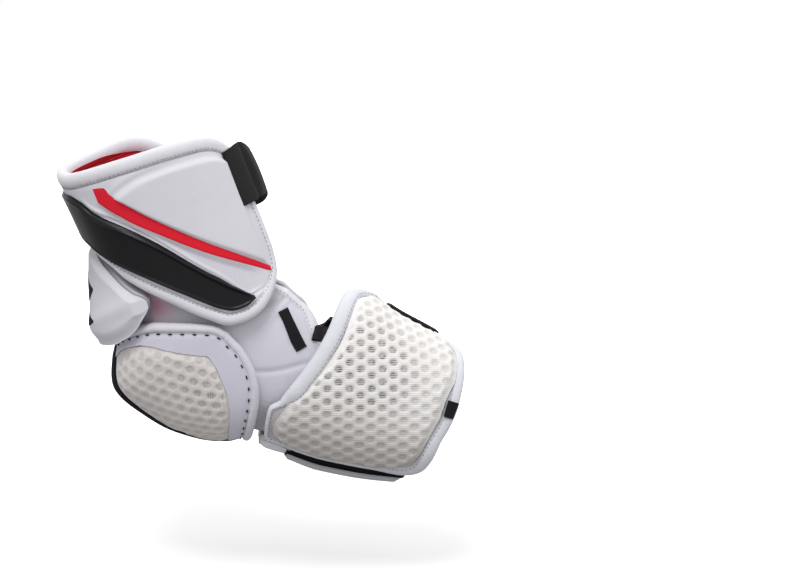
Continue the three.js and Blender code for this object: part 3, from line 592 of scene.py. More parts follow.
def twoToneLining(name, first, second):  # the attribute "patch" says where the second tone is
    f = Finish(name, 0.9, 0.12, 0.05)
    x, y = f.place()
    knit = x.wave(1.3) * y.wave(1.3) * 0.5 + 0.5
    soft = f.noise(10.0)
    firstTone = f.mix((knit * 0.3 + soft * 0.3).clamp(), first, darker(first, 0.5))
    secondTone = f.mix((knit * 0.25 + soft * 0.3).clamp(), second, darker(second, 0.7))
    colour = f.mix(f.attribute("patch").above(0.5, 0.06), firstTone, secondTone)
    return f.done(colour, soft * 0.1 + 0.83, knit + soft * 0.6, 0.25)


black = (0.012, 0.012, 0.015)
cloths = {
    "white": plainCloth("white_twill", (0.69, 0.675, 0.735), 0.84, 1.25, 0.10),
    # the sleeve's third tone is its painted red bounce light and shade
    "sleeve": sleeveCloth("sleeve_cloth", (0.66, 0.65, 0.72), (0.50, 0.22, 0.29)),
    "band": plainCloth("band_cloth", (0.63, 0.615, 0.705), 0.86, 0.9, 0.09, twill=False),
    "capBinding": bindingCloth("cap_binding_white", (0.67, 0.655, 0.72)),
    "binding": bindingCloth("binding_white", (0.73, 0.725, 0.775)),
    "foreBinding": bindingCloth("forearm_binding_white", (0.69, 0.705, 0.75)),
    # the piping is white binding, painted grey as shade
    "pipingPaintedShade": bindingCloth("piping_grey", (0.47, 0.475, 0.50)),
    # the fifth tone is painted shade, where the panel turns under
    "honeycomb": honeycombCloth("honeycomb_mesh", (0.88, 0.855, 0.84), (0.52, 0.49, 0.475),
                                (0.04, 0.036, 0.034), (0.44, 0.41, 0.39), math.radians(16), 0.1),
    "capHoneycomb": honeycombCloth("cap_honeycomb", (0.73, 0.695, 0.68), (0.53, 0.495, 0.475),
                                   (0.11, 0.10, 0.096), (0.4, 0.37, 0.35), math.radians(133), 0.2),
    "knit": knitCloth("grey_knit", (0.68, 0.68, 0.71), (0.30, 0.305, 0.33)),
    "paleKnit": knitCloth("pale_knit", (0.66, 0.67, 0.71), (0.47, 0.48, 0.52)),
    "rubber": mouldedRubber("black_rubber", (0.004, 0.004, 0.005), (0.009, 0.009, 0.011)),
    "foam": mouldedFoam("white_foam", (0.66, 0.645, 0.70), 0.3),
    "blackFoam": mouldedFoam("black_foam", (0.008, 0.008, 0.010), 0.15),
    "redPrint": plainCloth("red_print", (0.75, 0.017, 0.036), 0.88, 1.1, 0.08, cloud=0.03, sheen=0.0),
    "redLining": plainCloth("red_lining", (0.47, 0.012, 0.024), 0.8, 1.0, 0.2, 0.9, twill=False, sheen=0.0),
    "black": plainCloth("black_weave", black, 0.6, 1.0, 0.15, 0.85, twill=False, sheen=0.0),
    "neoprene": plainCloth("neoprene", (0.020, 0.017, 0.021), 0.7, 0.8, 0.12, 0.88, sheen=0.0),
    "strap": webbing("dark_webbing", (0.017, 0.018, 0.0175)),
    "pile": loopPile("loop_pile", (0.55, 0.55, 0.59)),
    "hook": hookTape("hook_tape", (0.075, 0.077, 0.082), (0.010, 0.010, 0.011), (0.60, 0.016, 0.03)),
    "sleeveLining": twoToneLining("sleeve_lining_knit", (0.010, 0.011, 0.015), (0.52, 0.014, 0.026)),
    "greyThread": plainCloth("grey_thread", (0.34, 0.34, 0.39), 0.8, 0.5, 0.05, 0.7, twill=False, sheen=0.0),
    "blackThread": plainCloth("black_thread", black, 0.8, 0.5, 0.05, 0.7, twill=False, sheen=0.0),
}
print("materials made")


# Geometry Nodes
class GeometryTree(Nodes):  # with named inputs
    def __init__(self, name, inputs):
        super().__init__(bpy.data.node_groups.new(name, "GeometryNodeTree"))
        for way in ("INPUT", "OUTPUT"):
            self.tree.interface.new_socket(name="Geometry", in_out=way, socket_type="NodeSocketGeometry")
        for label, kind in inputs.items():
            self.tree.interface.new_socket(name=label, in_out="INPUT", socket_type="NodeSocket" + kind)
        self.given = self.node("NodeGroupInput")
        self.result = self.node("NodeGroupOutput")

    def input(self, label):
        return Wire(self, self.given.outputs[label])

    def finish(self, geometry, material):
        real = self.wire("GeometryNodeRealizeInstances", None, {"Geometry": geometry})
        values = {"Geometry": real, "Material": self.input(material)}
        self.feed(self.result, {"Geometry": self.wire("GeometryNodeSetMaterial", None, values)})
        return self

    def apply(self, obj, values):  # and keep the plain mesh
        modifier = obj.modifiers.new("nodes", "NODES")
        modifier.node_group = self.tree
        for item in self.tree.interface.items_tree:
            if item.in_out == "INPUT" and item.name in values:
                modifier[item.identifier] = values[item.name]
        graph = bpy.context.evaluated_depsgraph_get()
        evaluated = obj.evaluated_get(graph)
        mesh = bpy.data.meshes.new_from_object(evaluated, preserve_all_data_layers=True, depsgraph=graph)
        obj.modifiers.remove(modifier)
        mesh.name = obj.name
        obj.data = mesh


def makeStitchTree():  # short threads at an even spacing along a line
    t = GeometryTree("stitchTree", {"Spacing": "Float", "Length": "Float", "Thickness": "Float",
                                    "Thread": "Material"})
    curve = t.wire("GeometryNodeMeshToCurve", None, {"Mesh": t.input("Geometry")})
    points = t.node("GeometryNodeCurveToPoints", {"mode": "LENGTH"},
                    {"Curve": curve, "Length": t.input("Spacing")})
    ball = t.wire("GeometryNodeMeshUVSphere", None, {"Segments": 8, "Rings": 6, "Radius": 0.5})
    size = t.wire("ShaderNodeCombineXYZ", None, {"X": t.input("Length"), "Y": t.input("Thickness"),
                                                 "Z": t.input("Thickness")})
    thread = t.wire("GeometryNodeTransform", None, {"Geometry": ball, "Scale": size})
    turned = t.wire("FunctionNodeAlignRotationToVector", {"axis": "X"},
                    {"Vector": Wire(t, points.outputs["Tangent"])})
    placed = t.wire("GeometryNodeInstanceOnPoints", None,
                    {"Points": Wire(t, points.outputs["Points"]), "Instance": thread, "Rotation": turned})
    return t.finish(t.wire("GeometryNodeSetShadeSmooth", None, {"Geometry": placed}), "Thread")


def makeDimpleTree():  # a lattice of round hollows pressed into a cloth along its normals
    t = GeometryTree("dimpleTree", {"Pitch": "Float", "Depth": "Float", "Angle": "Float", "Stretch": "Float",
                                    "Cloth": "Material"})
    place = t.wire("GeometryNodeInputNamedAttribute", {"data_type": "FLOAT_VECTOR"}, {"Name": "cloth"})
    pressed = t.wire("GeometryNodeInputNamedAttribute", {"data_type": "FLOAT"}, {"Name": "pressed"})
    turned = t.wire("ShaderNodeVectorRotate", {"rotation_type": "Z_AXIS"},
                    {"Vector": place, "Angle": t.input("Angle")})
    rate = 4 * math.pi / math.sqrt(3) / t.input("Pitch")
    waves = []
    for angle in np.radians([0, 60, 120]):
        axis = (math.cos(angle), math.sin(angle), 0)
        reach = t.wire("ShaderNodeVectorMath", {"operation": "DOT_PRODUCT"}, {0: turned, 1: axis}, "Value")
        waves.append((reach * rate).cos())
    # above 1 Stretch makes the hollows narrower across the first way, below 1 wider
    total = waves[0] * t.input("Stretch") + waves[1] + waves[2]
    level = t.wire("ShaderNodeMapRange", {"interpolation_type": "SMOOTHSTEP"},
                   {"Value": total, "From Min": -1.0, "From Max": 1.45})
    dimple = level * pressed
    kept = t.wire("GeometryNodeStoreNamedAttribute", {"data_type": "FLOAT", "domain": "POINT"},
                  {"Geometry": t.input("Geometry"), "Name": "dimple", "Value": dimple})
    offset = t.wire("ShaderNodeVectorMath", {"operation": "SCALE"},
                    {0: t.wire("GeometryNodeInputNormal"), "Scale": dimple * t.input("Depth") * -1.0})
    return t.finish(t.wire("GeometryNodeSetPosition", None, {"Geometry": kept, "Offset": offset}), "Cloth")


stitchTree = makeStitchTree()
dimpleTree = makeDimpleTree()


def dress(obj, cloth, *nodes, fill=None):  # material, body, what it replaces, and how full it is, which is not used
    if not obj.data.materials:
        obj.data.materials.append(cloths[cloth])
    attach(obj, "root")
    if nodes:
        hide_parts(*nodes)


def stitches(name, line, spacing, length, thickness, thread="greyThread"):  # all in mm
    mesh = bpy.data.meshes.new(name)
    mesh.from_pydata((line * mm).tolist(), [(i, i + 1) for i in range(len(line) - 1)], [])
    obj = bpy.data.objects.new(name, mesh)
    bpy.context.scene.collection.objects.link(obj)
    stitchTree.apply(obj, {"Spacing": spacing * mm, "Length": length * mm, "Thickness": thickness * mm,
                           "Thread": cloths[thread]})
    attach(obj, "root")


def seamOnRoll(frames, degrees):
    line = ring(frames, math.radians(degrees))
    return np.concatenate([line, line[:1]])


# sleeve
sleevePiece = {
    "rows": mirrored([(20, -0.27, 0.27), (32, -0.33, 0.31), (50, -0.42, 0.38), (70, -0.5, 0.46),
                      (90, -0.56, 0.52), (180, -0.66, 0.55)]),
    "corners": {"startLow": 16, "endLow": 16, "startHigh": 14, "endHigh": 14},
    "thickness": 4.5, "rollWidth": 6.0, "crookRollWidth": 9.0, "liningThickness": 2.0,
    "lowerPatch": (-42, 180, 62),   # where the lining is red: at, turn and how far round it
    "label": [(43, 0.036, 36, 0.071), (46, 0.095, 40, 0.137), (51, 0.155, 44, 0.196), (56, 0.202, 49, 0.25),
              (61, 0.25, 54, 0.292)],
}
sleeveInner = face(armForm, -sleevePiece["thickness"])
sleeveArea = Outline(sleevePiece["rows"], sleevePiece["corners"], sleevePiece["rollWidth"] + arm["sewnGap"])


def sleeveRelief(at, turn):  # a pulled fold towards the crook and small creases under the guard
    share = shareOf(at)
    side = np.minimum(turn, 360 - turn)
    fold = hill(share - (0.286 - (side - 70) * 0.0075), 0.016) * within(side, 60, 12, 100, 12)
    crease = np.sin(share * 95 + side * 0.11) * hill(share + 0.02, 0.09) * smooth((70 - side) / 30)
    gather = np.sin(turn * 1.15) * hill(share - 0.235, 0.03) * smooth((side - 100) / 20)
    return -1.6 * fold + 0.4 * crease + 0.7 * gather


def paintedRedBounceAt(at, turn):  # painted red bounce light and shade: beside the wedge, under the guard's edge
    share = shareOf(at)
    near = 0.85 * hill(turn - 125, 8) * hill(share + 0.305, 0.05)
    return near + 0.25 * hill(turn - 114, 8) * hill(share + 0.28, 0.03)


def paintedShadeAt(at, turn):  # painted shade under the guard's edge
    side = np.minimum(turn, 360 - turn)
    return 0.6 * smooth((-0.03 - (side - 60) * 0.0022 - shareOf(at)) / 0.06)


dress(wall("sleeve_padded", sleeveArea, sleeveInner, face(armForm, 0, sleeveArea, 0.7, 6, sleeveRelief),
           150, 80, {"painted_red_bounce": paintedRedBounceAt, "painted_shade": paintedShadeAt}), "sleeve", "sleeve", fill=0.5)


def besideCrook(turn):
    return smooth((62 - turn) / 22)


def sleeveRollAt(turn, v):
    wider = sleevePiece["crookRollWidth"] - sleevePiece["rollWidth"]
    return sleevePiece["rollWidth"] + wider * besideCrook(turn)


sleeveFrames = rimFrames(sleeveArea, sleeveInner, face(armForm, 0), 150, 70, sleeveRollAt,
                         lambda turn, v: 0.4 + 0.8 * besideCrook(turn),
                         lambda turn, v: -0.5 - 0.5 * besideCrook(turn))
dress(roll("sleeve_binding", sleeveFrames, 14), "binding", "sleeve_roll", fill=0.7)
stitches("sleeve_stitches", seamOnRoll(sleeveFrames, 135), 3.0, 1.9, 0.45)


def redPatchAt(at, turn):
    middleAt, middleTurn, reach = sleevePiece["lowerPatch"]
    return 0.5 + 0.02 * (reach - np.hypot(at - middleAt, (turn - middleTurn) * mmPerDegree))


liningTop = -sleevePiece["thickness"] - arm["sewnGap"]
dress(wall("sleeve_lining_knit", sleeveArea, face(armForm, liningTop - sleevePiece["liningThickness"]),
           face(armForm, liningTop), 90, 50, {"patch": redPatchAt}), "sleeveLining", "sleeve_lining",
      fill=0.2)
dress(wall("sleeve_label", Ribbon(sleevePiece["label"]), face(armForm, 0.3), face(armForm, 1.3), 30, 10,
           edge=0.3), "black", "sleeve_tag")
print("sleeve made")

# upper guard
guardPiece = {
    "rows": [(20, -0.81, -0.3), (26, -0.845, -0.19), (34, -0.875, -0.13), (44, -0.9, -0.09),
             (55, -0.918, -0.072), (73, -0.928, -0.105), (81, -0.931, -0.16), (98, -0.933, -0.26),
             (116, -0.936, -0.36), (130, -0.937, -0.44), (149, -0.94, -0.53), (161, -0.948, -0.585),
             (180, -0.965, -0.62), (210, -0.975, -0.58), (235, -0.98, -0.47), (250, -0.984, -0.39),
             (265, -0.965, -0.34), (280, -0.91, -0.31), (300, -0.79, -0.36)],
    "corners": {"startLow": 14, "startHigh": 30, "endLow": 26, "endHigh": 26},
    "thickness": 8.5, "rollWidth": 9.0, "topRollWidth": 11.0, "tuckedRollWidth": 4.0,
    "plateau": 2.8,   # how far the big panel stands up
    "plateauTop": [(30, -0.80), (40, -0.83), (65, -0.855), (95, -0.845), (112, -0.82), (123, -0.79),
                   (135, -0.76)],
    "stripe": [(35.5, -0.303, -0.277), (72, -0.506, -0.45), (100, -0.669, -0.597), (113, -0.755, -0.669),
               (119, -0.795, -0.71), (123, -0.84, -0.735), (130, -0.849, -0.789)],
    "plate": [(55.5, -0.178, -0.158), (62, -0.262, -0.148), (70, -0.331, -0.163), (78, -0.386, -0.207),
              (85, -0.437, -0.257), (102, -0.56, -0.355), (119, -0.663, -0.45), (137, -0.757, -0.54),
              (145, -0.815, -0.577), (156, -0.85, -0.625), (180, -0.865, -0.686), (206, -0.855, -0.65),
              (218, -0.77, -0.61), (236, -0.64, -0.53)],
    "plateThickness": 2.6,
    "ribEnd": 165,    # the turn where the plate's rib has faded
    "pile": [(244, -0.78, -0.55), (262, -0.78, -0.46), (289, -0.7, -0.46)],
    "rimSteps": 190,     # points of the roll along the guard's upper edge
    "lip": (98, 268),    # the turns between which the lining is turned up over the roll
    "lipWrap": (196, 64),   # degrees round the roll: where the lip starts and how far it reaches
}
guardArea = Outline(guardPiece["rows"], guardPiece["corners"], guardPiece["rollWidth"] + arm["sewnGap"],
                    guardPiece["topRollWidth"] + arm["sewnGap"])


def guardRelief(at, turn):
    top = along(read(guardPiece["plateauTop"], 1, turn))
    stripeTop = along(read(guardPiece["stripe"], 1, turn))
    stripeLow = along(read(guardPiece["stripe"], 2, turn))
    plateTop = along(read(guardPiece["plate"], 1, turn))
    onSide = within(turn, 27, 6, 128, 8)
    panel = smooth((at - top) / 7) * smooth((stripeTop - at + 1.5) / 2.5) * onSide
    panel = panel * smooth((guardArea.inside(at, turn) - 2.5) / 6)
    ridge = hill(at - top + 2.5, 2.4) * onSide   # a thin welt above the panel
    groove = smooth((at - stripeLow) / 5) * smooth((plateTop - at + 2) / 2) * within(turn, 40, 12, 134, 8)
    welt = hill(at - plateTop + 3.2, 1.5) * within(turn, 44, 10, 146, 8)
    seam = hill(guardArea.inside(at, turn), 2.0)
    return guardPiece["plateau"] * panel + 0.5 * ridge - 2.1 * groove + 1.0 * welt - 0.3 * seam


def onGuard(lift, *shaping):  # a face at a height over the guard's own
    return face(guardForm, guardPiece["thickness"] + lift, *shaping)


guardInner = face(guardForm, 0)
dress(wall("upper_guard_shell", guardArea, guardInner, onGuard(0, None, 0, 1, guardRelief), 210, 100),
      "white", "upper_guard", fill=0.8)


def guardRollAt(turn, v):  # wide at the top, and thin where the plate reaches the edge
    tucked = within(turn, 128, 14, 236, 18)
    low = guardPiece["rollWidth"] + (guardPiece["tuckedRollWidth"] - guardPiece["rollWidth"]) * tucked
    top = guardPiece["topRollWidth"]
    return top + (low - top) * np.clip(v * 5, 0, 1)


guardFrames = rimFrames(guardArea, guardInner, onGuard(0), guardPiece["rimSteps"], 60, guardRollAt)
dress(roll("upper_guard_binding", guardFrames, 18), "binding", "upper_guard_roll", fill=0.8)
stitches("upper_guard_stitches", seamOnRoll(guardFrames, 124), 3.1, 1.9, 0.55)

stripeArea = Outline(guardPiece["stripe"])
dress(wall("red_stripe", stripeArea, onGuard(-0.4), onGuard(0.75, stripeArea, 0.4, 1.2), 110, 14, edge=0.2),
      "redPrint", "upper_guard_stripe")
plateArea = Outline(guardPiece["plate"])


def plateRelief(at, turn):  # a raised rib inside its upper edge
    low, high, _ = plateArea.edges(turn)
    room = smooth((high - low - 8) / 12) * smooth((guardPiece["ribEnd"] - turn) / 14)
    rib = hill(at - low - 3.6, 1.0)
    sunk = smooth((at - low - 4.5) / 2) * smooth((high - at - 1) / 3)
    return 0.9 * (rib - sunk) * room


plateLift = arm["sewnGap"] + guardPiece["plateThickness"]
plateOuter = onGuard(plateLift, plateArea, 1.6, 2.0, plateRelief)
dress(wall("rubber_plate", plateArea, onGuard(0.1), plateOuter, 170, 52, edge=0.3), "rubber",
      "upper_guard_plate")
pileArea = Outline(guardPiece["pile"], {"startLow": 8, "startHigh": 8, "endLow": 12, "endHigh": 12})
dress(wall("flap_pile", pileArea, onGuard(-0.3), onGuard(1.2, pileArea, 0.6, 2.5), 50, 50), "pile",
      "upper_flap_pile")


def liningSeams(at, turn):  # the quilting pulls the lining in along three lines
    share = shareOf(at)
    first = hill(turn - (70 + 46 * (share + 0.95)), 2.6)
    second = hill(turn - (232 - 60 * (share + 0.95)), 2.6)
    third = hill(turn - 150, 2.6)
    return 1.5 * np.maximum(np.maximum(first, second), third) - 0.8


guardLiningTop = -arm["sewnGap"]
guardLiningInner = face(guardForm, guardLiningTop - arm["lining"], relief=liningSeams)
dress(wall("upper_lining_knit", guardArea, guardLiningInner, face(guardForm, guardLiningTop), 140, 40),
      "redLining", "upper_lining", fill=0.2)


def makeLip():  # the lining's own lip, turned up over the roll behind the arm
    first, last = guardPiece["lip"]
    turns = guardArea.start + (guardArea.end - guardArea.start) * steps(guardPiece["rimSteps"])
    rows = np.flatnonzero((turns > first) & (turns < last))
    turns = turns[rows]
    frames = {key: values[rows] for key, values in guardFrames.items()}
    rise = within(turns, first, 50, last, 40)
    start, reach = guardPiece["lipWrap"]
    count = 12

    def sheet(over):
        angles = [np.radians(start + reach * rise * k / count) for k in range(count + 1)]
        return np.stack([ring(frames, angle, over) for angle in angles], 1).reshape(-1, 3)

    across = np.tile(np.arange(count + 1) * 1.4, len(rows))
    place = np.stack([np.repeat(turns * mmPerDegree, count + 1), across], -1)
    return solid("upper_lining_lip", sheet(-0.6), sheet(0.55), len(rows) - 1, count, place, edge=0.1)


dress(makeLip(), "redLining")
print("upper guard made")

# upper strap
strapPiece = {
    "rise": [(-74, 1.2), (-58, 2.2), (-30, 2.3), (8, 1.4), (24, 1.1), (40, 0.1)],
    "rows": [(-70, -0.7, -0.49), (-30, -0.74, -0.52), (8, -0.8, -0.58), (22, -0.825, -0.578),
             (40, -0.81, -0.576)],
    "tab": [(-84, -0.66, -0.52), (-76, -0.69, -0.48), (-52, -0.72, -0.5)],
    "thickness": 2.0, "tabThickness": 2.4,
}
strapArea = Outline(strapPiece["rows"])


def strapWall(name, area, form, rise, base, thickness, grid, softening, relief=None, extra=None):
    # it rises and dips over its form, and softening says how far and how wide its edges fall
    def level(over, *shaping):
        return face(form, lambda at, turn: over + read(rise, 1, turn), *shaping)

    return wall(name, area, level(base), level(base + thickness, area, *softening, relief), *grid, extra)


def strapRelief(at, turn):  # folded double: a crease beside the fold, and a seam down the middle
    low, high, _ = strapArea.edges(turn)
    crease = hill(turn - 21.5, 2.2)
    lobe = within(turn, -22, 12, 20, 5)
    across = (at - (low + high) / 2) / 10
    stitched = hill(at - low - 3, 0.8) + hill(high - at - 3, 0.8)
    return -1.5 * crease + 1.6 * lobe - 0.35 * across ** 2 * lobe - 0.25 * stitched


strapBase = guardPiece["thickness"] + arm["sewnGap"]
dress(strapWall("upper_strap_webbing", strapArea, guardForm, strapPiece["rise"], strapBase,
                strapPiece["thickness"], (170, 30), (0.5, 1.6), strapRelief), "strap", "upper_strap")
tabArea = Outline(strapPiece["tab"])


def framedTab(area, cornerTurn, cornerAt, reach):  # its edging, and the corner that is red
    def corner(at, turn):
        distance = abs(turn - cornerTurn) * mmPerDegree * 1.25 + abs(at - cornerAt) * 1.1
        return smooth(reach - distance + 0.5)
    return {"frame": lambda at, turn: smooth((2.0 - area.inside(at, turn)) / 0.5), "corner": corner}


tabBase = strapBase + strapPiece["thickness"] + arm["sewnGap"]
dress(strapWall("upper_strap_hook_tab", tabArea, guardForm, strapPiece["rise"], tabBase,
                strapPiece["tabThickness"], (70, 56), (0.9, 2.4), None,
                framedTab(tabArea, -84, -86, 15)), "hook", "upper_strap_tab")
print("upper strap made")

# back wedge
wedgePiece = {
    "rows": mirrored([(122.3, -0.342, -0.318), (125, -0.368, -0.293), (129, -0.391, -0.273),
                      (134, -0.426, -0.256), (141, -0.487, -0.244), (150, -0.541, -0.239),
                      (161, -0.592, -0.243), (180, -0.622, -0.248)]),
    "inlays": [mirrored([(158, -0.452, -0.443), (170, -0.49, -0.40), (180, -0.515, -0.415)]),
               mirrored([(159, -0.325, -0.317), (170, -0.352, -0.30), (180, -0.372, -0.31)])],
    "fall": (3.4, 6.5),   # how far and how wide its face falls to its edge
    "capOverlap": 7.6,    # its lower end lies this far over the cap
}
wedgeArea = Outline(wedgePiece["rows"])


def wedgeRelief(at, turn):  # its near face is flat, and its lower side is cut away
    side = np.minimum(turn, 360 - turn)
    share = shareOf(at)
    flat = hill(side - 133, 15) * 1.6
    brow = 1.3 * hill(share - (-0.30 - (180 - side) * 0.0012), 0.035) * smooth((side - 122) / 14)
    return brow - flat * smooth((share + 0.5) / 0.15) - 2.4 * (1 - smooth((side - 122) / 6))


def wedgeUnderside(share):  # its lower end rests on the cap's upper edge
    step = smooth((share + 0.35) / 0.07)
    lifts = capForm(share + wedgePiece["capOverlap"] / arm["upperReach"])
    return tuple(arm["looseGap"] + step * (lift + 0.6) for lift in lifts)


def tuckedUnder(at, turn):  # its underside is smaller than its face
    middle = along(-0.37)
    return skin(wedgeUnderside, at + (middle - at) * 0.12, turn + (180 - turn) * 0.09, 0 * turn)


def wedgePaintedShadeAt(at, turn):  # painted shade, darker towards the top under the guard
    return 0.55 * smooth((-0.40 - shareOf(at)) / 0.14)


def onWedge(lift):
    return face(wedgeForm, lift, wedgeArea, *wedgePiece["fall"], wedgeRelief)


dress(wall("back_wedge_foam", wedgeArea, tuckedUnder, onWedge(0.4), 130, 68, {"painted_shade": wedgePaintedShadeAt}, edge=1.4),
      "foam", "back_wedge", fill=1.0)
for number, rows in enumerate(wedgePiece["inlays"]):
    replaced = ["back_wedge_inlay"] if number == 0 else []
    dress(wall("back_wedge_patch_%d" % number, Outline(rows), onWedge(-0.4), onWedge(0.65), 50, 20, edge=0.1),
          "black", *replaced)
print("wedge made")

# elbow cap
capPiece = {
    "rows": mirrored([(88.3, -0.085, -0.005), (91, -0.118, 0.045), (97, -0.147, 0.1), (107, -0.181, 0.141),
                      (118, -0.209, 0.164), (129, -0.23, 0.178), (138, -0.236, 0.186), (150, -0.236, 0.193),
                      (165, -0.225, 0.198), (180, -0.22, 0.2)]),
    "rollWidth": 6.5, "cover": 1.8, "coreGap": 1.3,
    "band": [(166, -0.2235, 166, -0.2005), (150, -0.235, 151, -0.2155), (138, -0.235, 140, -0.212),
             (128, -0.2275, 132, -0.197), (118, -0.208, 122, -0.157), (107, -0.18, 113, -0.115),
             (97, -0.146, 106.5, -0.083), (91, -0.116, 104.2, -0.072), (88.8, -0.083, 103.8, -0.06),
             (88.8, -0.005, 105, -0.02), (91.2, 0.043, 108.5, 0.022), (97, 0.098, 113.5, 0.066),
             (107, 0.1395, 120, 0.1), (121, 0.166, 132, 0.133), (142, 0.187, 148, 0.157),
             (166, 0.197, 166, 0.169)],
    "mesh": [(105.4, -0.064, -0.038), (107, -0.077, -0.008), (112, -0.102, 0.044), (118, -0.13, 0.081),
             (125, -0.163, 0.107), (136, -0.196, 0.135), (151, -0.206, 0.154), (166, -0.195, 0.164)],
    "pitch": 9.0, "dimpleDepth": 0.7,
    "spine": [(166.6, -0.219, 0.196), (193.4, -0.219, 0.196)],
}
capArea = Outline(capPiece["rows"])
capInner = face(armForm, arm["looseGap"])
coverInner = face(capForm, -capPiece["cover"])
coreOuter = face(capForm, -capPiece["cover"] - capPiece["coreGap"])
dress(wall("elbow_cap_core", capArea, capInner, coreOuter, 70, 40), "blackFoam", "elbow_cap", fill=1.0)
capFrames = rimFrames(capArea, capInner, face(capForm, 0), 150, 50, capPiece["rollWidth"], 0.8)
dress(roll("elbow_cap_binding", capFrames, 16), "capBinding", "elbow_cap_roll", fill=0.8)


def bandRelief(at, turn):  # sunk along the black stitches
    return -0.5 * hill(capArea.inside(at, turn) - 0.6, 1.4)


def capOpenAt(at, turn):  # the hollows gape a little at the point
    side = np.minimum(turn, 360 - turn)
    return 0.15 + 0.5 * hill(side - 122, 12) * hill(at - 2, 16)


def capSide(side, sign):
    def turned(turn):
        return turn if sign > 0 else 360 - turn

    # the band runs on a little under the roll
    bandArea = Ribbon([(turned(a + (a - c) * 0.06), b + (b - d) * 0.06, turned(c), d)
                       for a, b, c, d in capPiece["band"]])
    bandOuter = face(capForm, 0.1, relief=bandRelief)
    dress(wall("cap_band_" + side, bandArea, coverInner, bandOuter, 200, 18, edge=0.8), "band",
          "elbow_cap_band_" + side, fill=0.6)
    # the mesh goes on under the band
    meshArea = Outline([(turned(a - 1.2 * (a < 106)), b - 0.008, c + 0.009)
                        for a, b, c in capPiece["mesh"]][::sign])
    panel = wall("cap_mesh_" + side, meshArea, coverInner, face(capForm, 1.1, meshArea, 2.0, 5), 110, 96,
                 {"pressed": lambda at, turn: smooth((meshArea.inside(at, turn) - 0.4) / 3.5),
                  "open": capOpenAt}, cloth=measured(capForm, 1.0, 180 - 40 * sign, 0.0))
    dimpleTree.apply(panel, {"Pitch": capPiece["pitch"], "Depth": capPiece["dimpleDepth"] * mm,
                             "Angle": math.radians(-29) * sign, "Stretch": 1.3,
                             "Cloth": cloths["capHoneycomb"]})
    dress(panel, "capHoneycomb", "elbow_cap_mesh_" + side, fill=0.7)
    u = np.linspace(0.03, 0.97, 240)
    at, turn = bandArea.place(u, 0.09 + 0 * u)
    stitches("cap_stitches_" + side, skin(capForm, at, turn, 0.1), 8.3, 3.2, 1.1, "blackThread")


capSide("outer", 1)
capSide("inner", -1)
spineArea = Outline(capPiece["spine"])
dress(wall("elbow_cap_spine_cloth", spineArea, coverInner, face(capForm, 1.55, spineArea, 0.9, 3), 40, 90),
      "black", "elbow_cap_spine", fill=0.6)
print("elbow cap made")

# forearm guard
shellPiece = {
    "rows": [(-7, 0.5, 0.88), (-3, 0.455, 0.925), (4, 0.42, 0.945), (24, 0.375, 0.968), (47, 0.351, 0.98),
             (69, 0.315, 0.982), (89, 0.273, 0.97), (100, 0.246, 0.957), (106, 0.218, 0.952),
             (112, 0.187, 0.949), (121, 0.193, 0.943), (136, 0.207, 0.925), (150, 0.219, 0.895)],
    "corners": {"startLow": 10, "startHigh": 14, "endLow": 3, "endHigh": 8},
    "thickness": 5.0, "rollWidth": 8.0, "tuckedRollWidth": 3.5, "plumpWidth": 11.5,
    "spineThickness": 6.6, "pipingHeight": 2.2, "meshGap": 0.4,
    "mesh": [(6, 0.51, 0.84), (11, 0.468, 0.88), (18, 0.45, 0.908), (31, 0.436, 0.93), (47, 0.424, 0.935),
             (60, 0.402, 0.92), (69, 0.382, 0.914), (80, 0.346, 0.912), (92, 0.316, 0.9), (106, 0.276, 0.888),
             (121, 0.256, 0.876), (131, 0.266, 0.84), (137, 0.3, 0.74), (142, 0.37, 0.54)],
    "meshThickness": 3.8, "pitch": 9.0, "dimpleDepth": 0.95,
    "tag": [(66, 0.925, 0.972), (80, 0.925, 0.965)],
    "spine": [(151, 0.345, 0.86), (180, 0.35, 0.845), (209, 0.345, 0.86)],
    "gathers": [(150, 0.245, 0.36), (180, 0.25, 0.365), (210, 0.245, 0.36)],
    "piping": [(152.2, 0.352, 0.842), (207.8, 0.352, 0.842)],
    "side": [(210, 0.262, 0.88), (228, 0.26, 0.92), (250, 0.28, 0.94), (275, 0.31, 0.94), (300, 0.345, 0.92),
             (322, 0.42, 0.88)],
    "lining": [(3, 0.56, 0.83), (20, 0.44, 0.91), (60, 0.4, 0.92), (89, 0.345, 0.91), (119, 0.3, 0.885),
               (150, 0.31, 0.83), (180, 0.31, 0.82), (210, 0.32, 0.83), (250, 0.35, 0.87), (285, 0.45, 0.87),
               (310, 0.56, 0.82)],
}
shellArea = Outline(shellPiece["rows"], shellPiece["corners"], shellPiece["rollWidth"] + arm["sewnGap"])


def onShell(lift, *shaping):
    return face(shellForm, shellPiece["thickness"] + lift, *shaping)


shellInner = face(shellForm, 0)
dress(wall("forearm_shell_knit", shellArea, shellInner, onShell(0, shellArea, 0.6, 4), 120, 70), "knit",
      "forearm_shell", fill=0.7)


def plumpAt(turn, v):  # the roll is fullest on the crook side, and full again round the far corner
    crook = smooth((106 - turn) / 14) * (1 - np.clip(v * 5, 0, 1))
    return np.maximum(crook, 0.5 * smooth((turn - 92) / 30) * smooth(v * 5 - 4))


def shellRollAt(turn, v):
    tucked = smooth((turn - 101) / 9) * (1 - np.clip(v * 5, 0, 1))
    usual = shellPiece["rollWidth"]
    narrower, wider = shellPiece["tuckedRollWidth"] - usual, shellPiece["plumpWidth"] - usual
    return usual + narrower * tucked + wider * plumpAt(turn, v)


shellFrames = rimFrames(shellArea, shellInner, onShell(0), 170, 90, shellRollAt,
                        lambda turn, v: 0.9 + 2.6 * plumpAt(turn, v),
                        lambda turn, v: -0.5 - 2.8 * plumpAt(turn, v))
dress(roll("forearm_binding", shellFrames, 18), "foreBinding", "forearm_shell_roll", fill=0.8)
stitches("forearm_stitches", seamOnRoll(shellFrames, 134), 3.2, 2.0, 0.55)
meshArea = Outline(shellPiece["mesh"], {"startLow": 13, "startHigh": 9})


